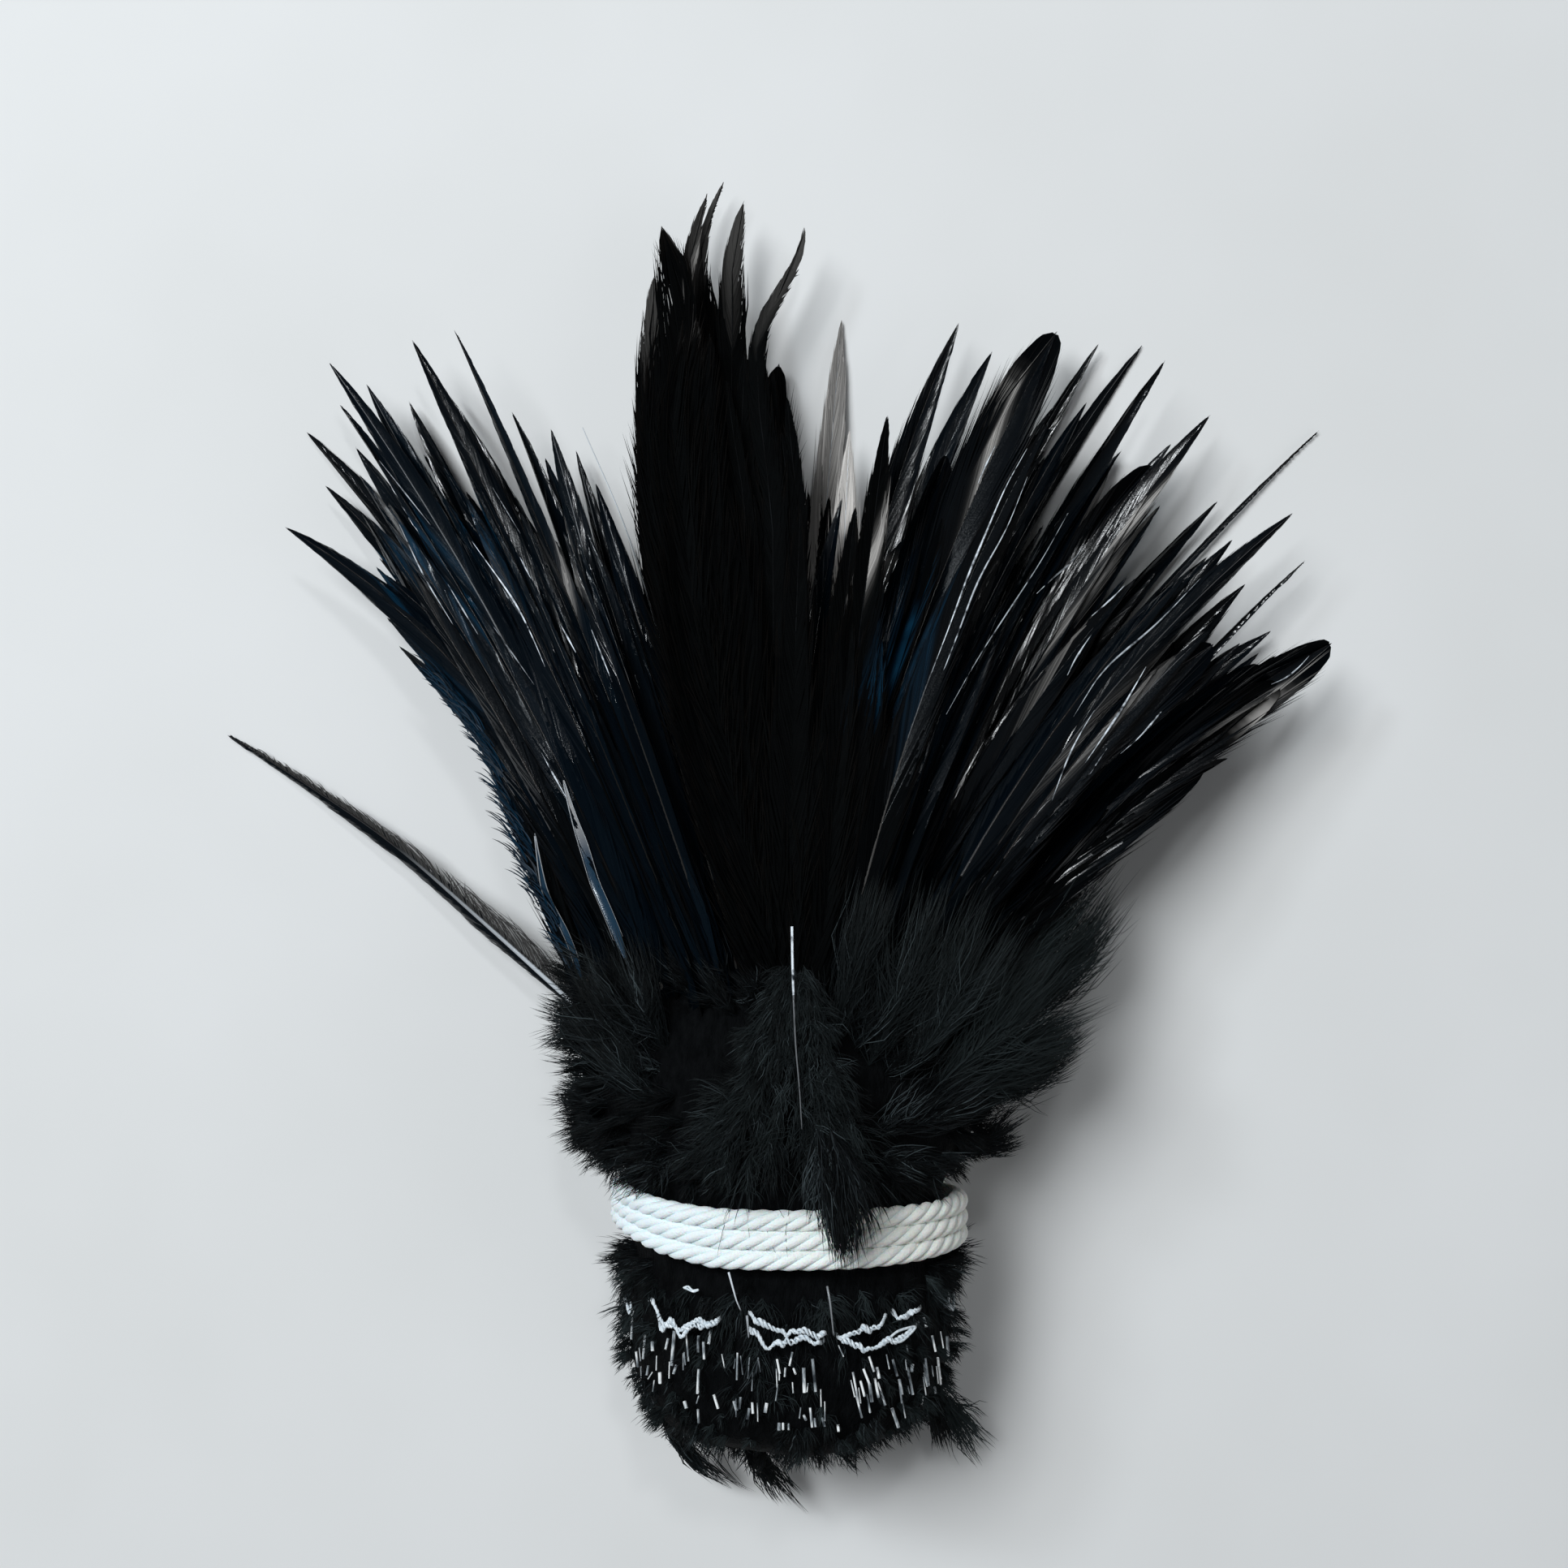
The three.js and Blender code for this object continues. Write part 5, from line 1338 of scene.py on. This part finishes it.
# x and y of each strand over the top
THREAD_STRANDS = [
    [(-21, -30.5), (-18, -29.4), (-17.2, -29.5), (-16.1, -31.3), (-14.9, -30.8), (-13.9, -31.9),
     (-13.2, -30.9), (-12.5, -30.6), (-11.6, -30.2), (-10.8, -30.2), (-10, -30.5), (-9.1, -29.9), (-7, -30),
     (-5.4, -29.2), (-4.4, -29.2), (-3.4, -29.9), (-2, -30.2), (-0.6, -31.1), (0.8, -30.7), (1.8, -30.9),
     (3.2, -31.3), (4.3, -31.3), (5.4, -31.9), (6.4, -31.8), (7.8, -31.6), (9, -30.9), (10.6, -31.1),
     (11.6, -30.4), (12.8, -30), (13.7, -30), (14.9, -30.1), (15.6, -29.9), (16.3, -29.6), (18, -30),
     (21, -30.5)],
    [(-21, -31.2), (-17.5, -30.5), (-16.4, -31.9), (-14.9, -31.2), (-13.8, -32.3), (-12.6, -31.1),
     (-11.2, -30.7), (-9.6, -30.4), (-7, -31.5), (-5.2, -31), (-4.5, -30.9), (-3.9, -31.6), (-2.9, -32.8),
     (-2, -32.3), (-0.6, -32.2), (0.8, -31.9), (2.2, -31.8), (3.6, -32.4), (5, -32.3), (6.4, -32.3),
     (7.8, -32.5), (8.8, -33), (9.9, -33.5), (11.1, -33), (12.4, -32.7), (13.7, -32.8), (15.8, -31.9),
     (17.4, -31.5), (20, -31.5)],
]
# from x to x: where each strand shows through the down
THREAD_SHOWN = [
    [(-17.4, -8.9), (-4.7, 4.5), (6.2, 11.8), (13.5, 15.0), (15.4, 16.5)],
    [(-16.6, -9.4), (-4.8, 3.9), (6.6, 16.1)],
]
# how deep it is hidden and how far it stands out, by how far inside those ranges it is
THREAD_STAND = ([-0.7, 0.2], [-1.6, 2.4])
# round the underside: how many stitches, from what angle, and through how many degrees
UNDER_STITCHES = 26
UNDER_FROM = 22
UNDER_THROUGH = 224
# the loop of a stitch that stands open on the right, and a scrap by the cord on the left: x and y round each,
# the thickness as a share, and how finely it is drawn
THREAD_LOOPS = [
    ([(12.4, -32.5), (13.6, -31.8), (15.0, -31.6), (16.0, -31.7), (15.2, -32.4), (13.9, -33)], 1.0, 60),
    ([(-13.4, -26.2), (-12.8, -26), (-12.2, -26.35), (-11.5, -26.2), (-12.1, -26.5), (-12.9, -26.3)],
     0.8, 40),
]
LOOP_STAND = 2.6


def closed_route(points, samples):
    """Places on a closed line through points, in metres, and how far along it they are, in millimetres."""
    points = np.array(points) * MM
    line = Line(np.vstack([points, points[:1]]), samples=samples)
    return line.place[:-1], line.share[:-1] * line.length / MM


def closed_ply(route, thick):
    """A ply of thread, of so many millimetres, along a closed route."""
    heading = unit(np.roll(route, -1, axis=0) - np.roll(route, 1, axis=0))
    across = unit(np.cross(heading, unit(route - route.mean(axis=0))))
    run = run_along(route)
    ways = (np.cross(across, heading), across)
    return pipe(route, ways, thick / 2 * MM, run / run[-1], THREAD_SIDES, closed=True)


patches = []
for strand, (rows, shown) in enumerate(zip(THREAD_STRANDS, THREAD_SHOWN)):
    over = []
    for x, y in Line(np.array([(x, y, 0) for x, y in rows]), samples=90).place[:, :2]:
        # a zigzag of uneven pace, that sinks in between the places where it shows
        inside = max(min(x - low, high - x) for low, high in shown)
        zigzag = math.asin(math.sin(x * 3.6 + 1.6 * math.sin(x * 1.3 + strand) + 2 * strand))
        over.append((x, y + THREAD_ZIGZAG * zigzag, roll_top(x, y) + np.interp(inside, *THREAD_STAND)))
    under = []
    for stitch in range(UNDER_STITCHES):
        angle = math.radians(UNDER_FROM - UNDER_THROUGH * (stitch + 0.5) / UNDER_STITCHES)
        point, normal = on_roll(angle, THREAD_Y)
        under.append(point + normal * 0.6 + (0, (-1) ** stitch * 0.5, 0))
    route, run = closed_route(over + under, 900)
    for ply in range(THREAD_PLIES):
        # the plies lie loosely, now nearer and now further apart, and each swells and thins out
        turn = run * 2 * math.pi / THREAD_LAY + math.pi * ply + strand
        apart = 0.2 + 0.09 * np.sin(run * 0.9 + 2 * strand)
        wiggle = np.column_stack([0 * run, apart * np.cos(turn), apart * np.sin(turn)]) * MM
        swell = 1 + 0.2 * np.sin(run * 2.1) + 0.3 * np.sin(run * 0.73 + strand) ** 4
        patches.append(closed_ply(route + wiggle, THREAD_WIDTH * swell))
for rows, thick_share, samples in THREAD_LOOPS:
    route, _ = closed_route([(x, y, roll_top(x, y) + LOOP_STAND) for x, y in rows], samples)
    patches.append(closed_ply(route, thick_share * THREAD_WIDTH))
white_thread, tree, shader = new_material("white_thread", 0.8, 0.2)
fuzz = noise(tree, 2600, detail=4)
base = ramp(tree, fuzz, (0.3, (0.42, 0.50, 0.56)), (0.65, (0.82, 0.87, 0.9)))
tree.links.new(base, shader.inputs["Base Color"])
bump(tree, shader, fuzz, 0.12 * MM)
shader.inputs["Sheen Weight"].default_value = 0.3
joined("stitching", patches, [white_thread], "thread", "stitch_thread")


# The slanted quills: two thin ones slant back from under the cord, and a short one lies by the stitches.
# They are stripped horn, more or less pale, held by the cord and the thread.
# points, thickness, and how pale
SLANTED_QUILLS = [
    ([(-7.6, -23.4, 37.6), (-7.0, -25.4, 38.2), (-6.6, -26.8, 38.2), (-6.1, -28.2, 37.4)], 0.3, 1.0),
    ([(4.7, -25.2, 37.4), (5.0, -26.8, 38.2), (5.2, -28.4, 38.2), (5.5, -31.4, 37.2)], 0.32, 0.35),
    ([(-5.3, -28.8, 37.6), (-5.2, -30, 38), (-5.1, -31.6, 37.4)], 0.36, 0.5),
]

patches = []
for points, thick, pale in SLANTED_QUILLS:
    slanted = Line(np.array(points) * MM, samples=30)
    patches.append(shaft(slanted, 0, 1, thick * MM, 0.5 * thick * MM, finish=BARBS, pale=pale))
joined("slanted_quills", patches, [dark_quill], "down")


# The tie: three turns of soft white cotton cord round the waist of the roll, each of four strands
# twisted together, with its knot low on the right side and both tails tucked under.
BUNDLE_HEIGHT = 38
TIE_WIDTH = 47.3
TIE_Y = -20
CORD_DIAMETER = 2.4
CORD_TURNS = 3
CORD_PITCH = 2.45
# the share of a turn in which the cord steps over to the next one, and how square the waist is (2 is round)
STEP_SHARE = 0.26
WAIST_SQUARENESS = 2.1
# the turns crowd together at both ends of the band, and lie further up the fan on the left and on top
LEFT_CROWDING = 0.32
RIGHT_CROWDING = 0.14
LEFT_SHIFT = 2.0
TOP_SHIFT = 0.4
TURN_POINTS = 400
CORD_STRANDS = 4
CORD_LAY = 10.0
STRAND_RADIUS = 0.75
STRAND_OFFSET = 0.62
STRAND_SIDES = 8
KNOT_ANGLE = math.radians(-38)
KNOT_STAND = 1.6
# a half of the knot with its tail, from the knot's middle: the other half is its mirror image
KNOT_HALF = [
    (-0.4, -2.6, 0.9), (0.9, -1.6, 1.2), (1.3, 0.6, 0.2), (1.1, 2.2, -1.2), (2.2, 3.4, -3.0),
    (2.6, 5.0, -4.8),
]


def tie_point(turn):
    """The cord's middle after so many turns from the knot, in millimetres."""
    angle = KNOT_ANGLE + turn * 2 * math.pi
    nearest = math.floor(turn + 0.5)
    step = min(max((turn - nearest) / STEP_SHARE, -0.5), 0.5)
    c, s = math.cos(angle), math.sin(angle)
    power = 2 / WAIST_SQUARENESS
    left, right = (float(np.interp(way, [0.4, 0.7, 1], [0, 0.35, 1])) for way in (-c, c))
    pitch = CORD_PITCH * (1 - LEFT_CROWDING * left - RIGHT_CROWDING * right)
    return np.array([
        (TIE_WIDTH - CORD_DIAMETER) / 2 * math.copysign(abs(c) ** power, c),
        TIE_Y + (nearest + step - CORD_TURNS / 2) * pitch + LEFT_SHIFT * left + TOP_SHIFT * (1 + s) / 2,
        BUNDLE_HEIGHT / 2 + (BUNDLE_HEIGHT - CORD_DIAMETER) / 2 * math.copysign(abs(s) ** power, s),
    ])


def strands(route, first_turn=0.0):
    """The cord's strands, twisted round a route that has ends, in metres."""
    heading = unit(np.gradient(route, axis=0))
    out = route - np.array([0, TIE_Y, BUNDLE_HEIGHT / 2]) * MM
    out[:, 1] = 0
    across = unit(np.cross(heading, out))
    out = np.cross(across, heading)
    run = run_along(route)
    patches = []
    for strand in range(CORD_STRANDS):
        turn = first_turn - run / MM * 2 * math.pi / CORD_LAY + strand * 2 * math.pi / CORD_STRANDS
        side = np.cos(turn)[:, None] * out + np.sin(turn)[:, None] * across
        middle = route + side * STRAND_OFFSET * MM
        ways = (side, np.cross(heading, side))
        patches.append(pipe(middle, ways, STRAND_RADIUS * MM, run / run[-1], STRAND_SIDES))
    return patches


patches = strands(np.array([tie_point(k / TURN_POINTS) for k in range(CORD_TURNS * TURN_POINTS + 1)]) * MM)
knot_middle = (tie_point(0) + tie_point(CORD_TURNS)) / 2
outward = unit(knot_middle - (0, knot_middle[1], BUNDLE_HEIGHT / 2))
knot_place = knot_middle + outward * KNOT_STAND
for side in (-1, 1):
    points = knot_place + np.array(KNOT_HALF) * (1, side, 1)
    patches += strands(Line(points * MM).place, first_turn=side)
for turn, side in ((0, 1), (CORD_TURNS, -1)):
    start = tie_point(turn)
    points = np.array([start, start + outward * 0.5 + (0, side, 0), knot_place + (0.2, side * -0.5, 0.4),
                       knot_place + (0.5, side, -0.6)])
    patches += strands(Line(points * MM, samples=30).place, first_turn=2 * side)


def object_axis(tree, axis):
    """One axis of the Object coordinates, in metres."""
    place = tree.nodes.new("ShaderNodeTexCoord")
    split = tree.nodes.new("ShaderNodeSeparateXYZ")
    tree.links.new(place.outputs["Object"], split.inputs[0])
    return split.outputs[axis]


cotton, tree, shader = new_material("white_cotton", 0.85, 0.15)
fibre = noise(tree, 3800, detail=5)
cloudy = ramp(tree, noise(tree, 260), (0.3, (0.87, 0.88, 0.87)), (0.7, (0.93, 0.935, 0.93)))
# painted light: the cord is cooler in colour on the left, towards the daylight, and warmer on the right
left_to_right = spread(tree, object_axis(tree, "X"), 0.0, 1.0, -18 * MM, 16 * MM)
painted_light_tint = ramp(tree, left_to_right, (0.0, (0.88, 0.96, 1.0)), (1.0, (1.0, 0.99, 0.93)))
cloudy = mixed(tree, 1.0, cloudy, painted_light_tint, "MULTIPLY")
tree.links.new(mixed(tree, spread(tree, fibre, 0.0, 0.5, 0.55, 0.3), cloudy, (0.74, 0.73, 0.71)),
               shader.inputs["Base Color"])
bump(tree, shader, fibre, 0.16 * MM)
shader.inputs["Sheen Weight"].default_value = 0.35
shader.inputs["Subsurface Weight"].default_value = 0.3
shader.inputs["Subsurface Scale"].default_value = 0.6 * MM
joined("cotton_cord", patches, [cotton], "cord", "tie_cord")
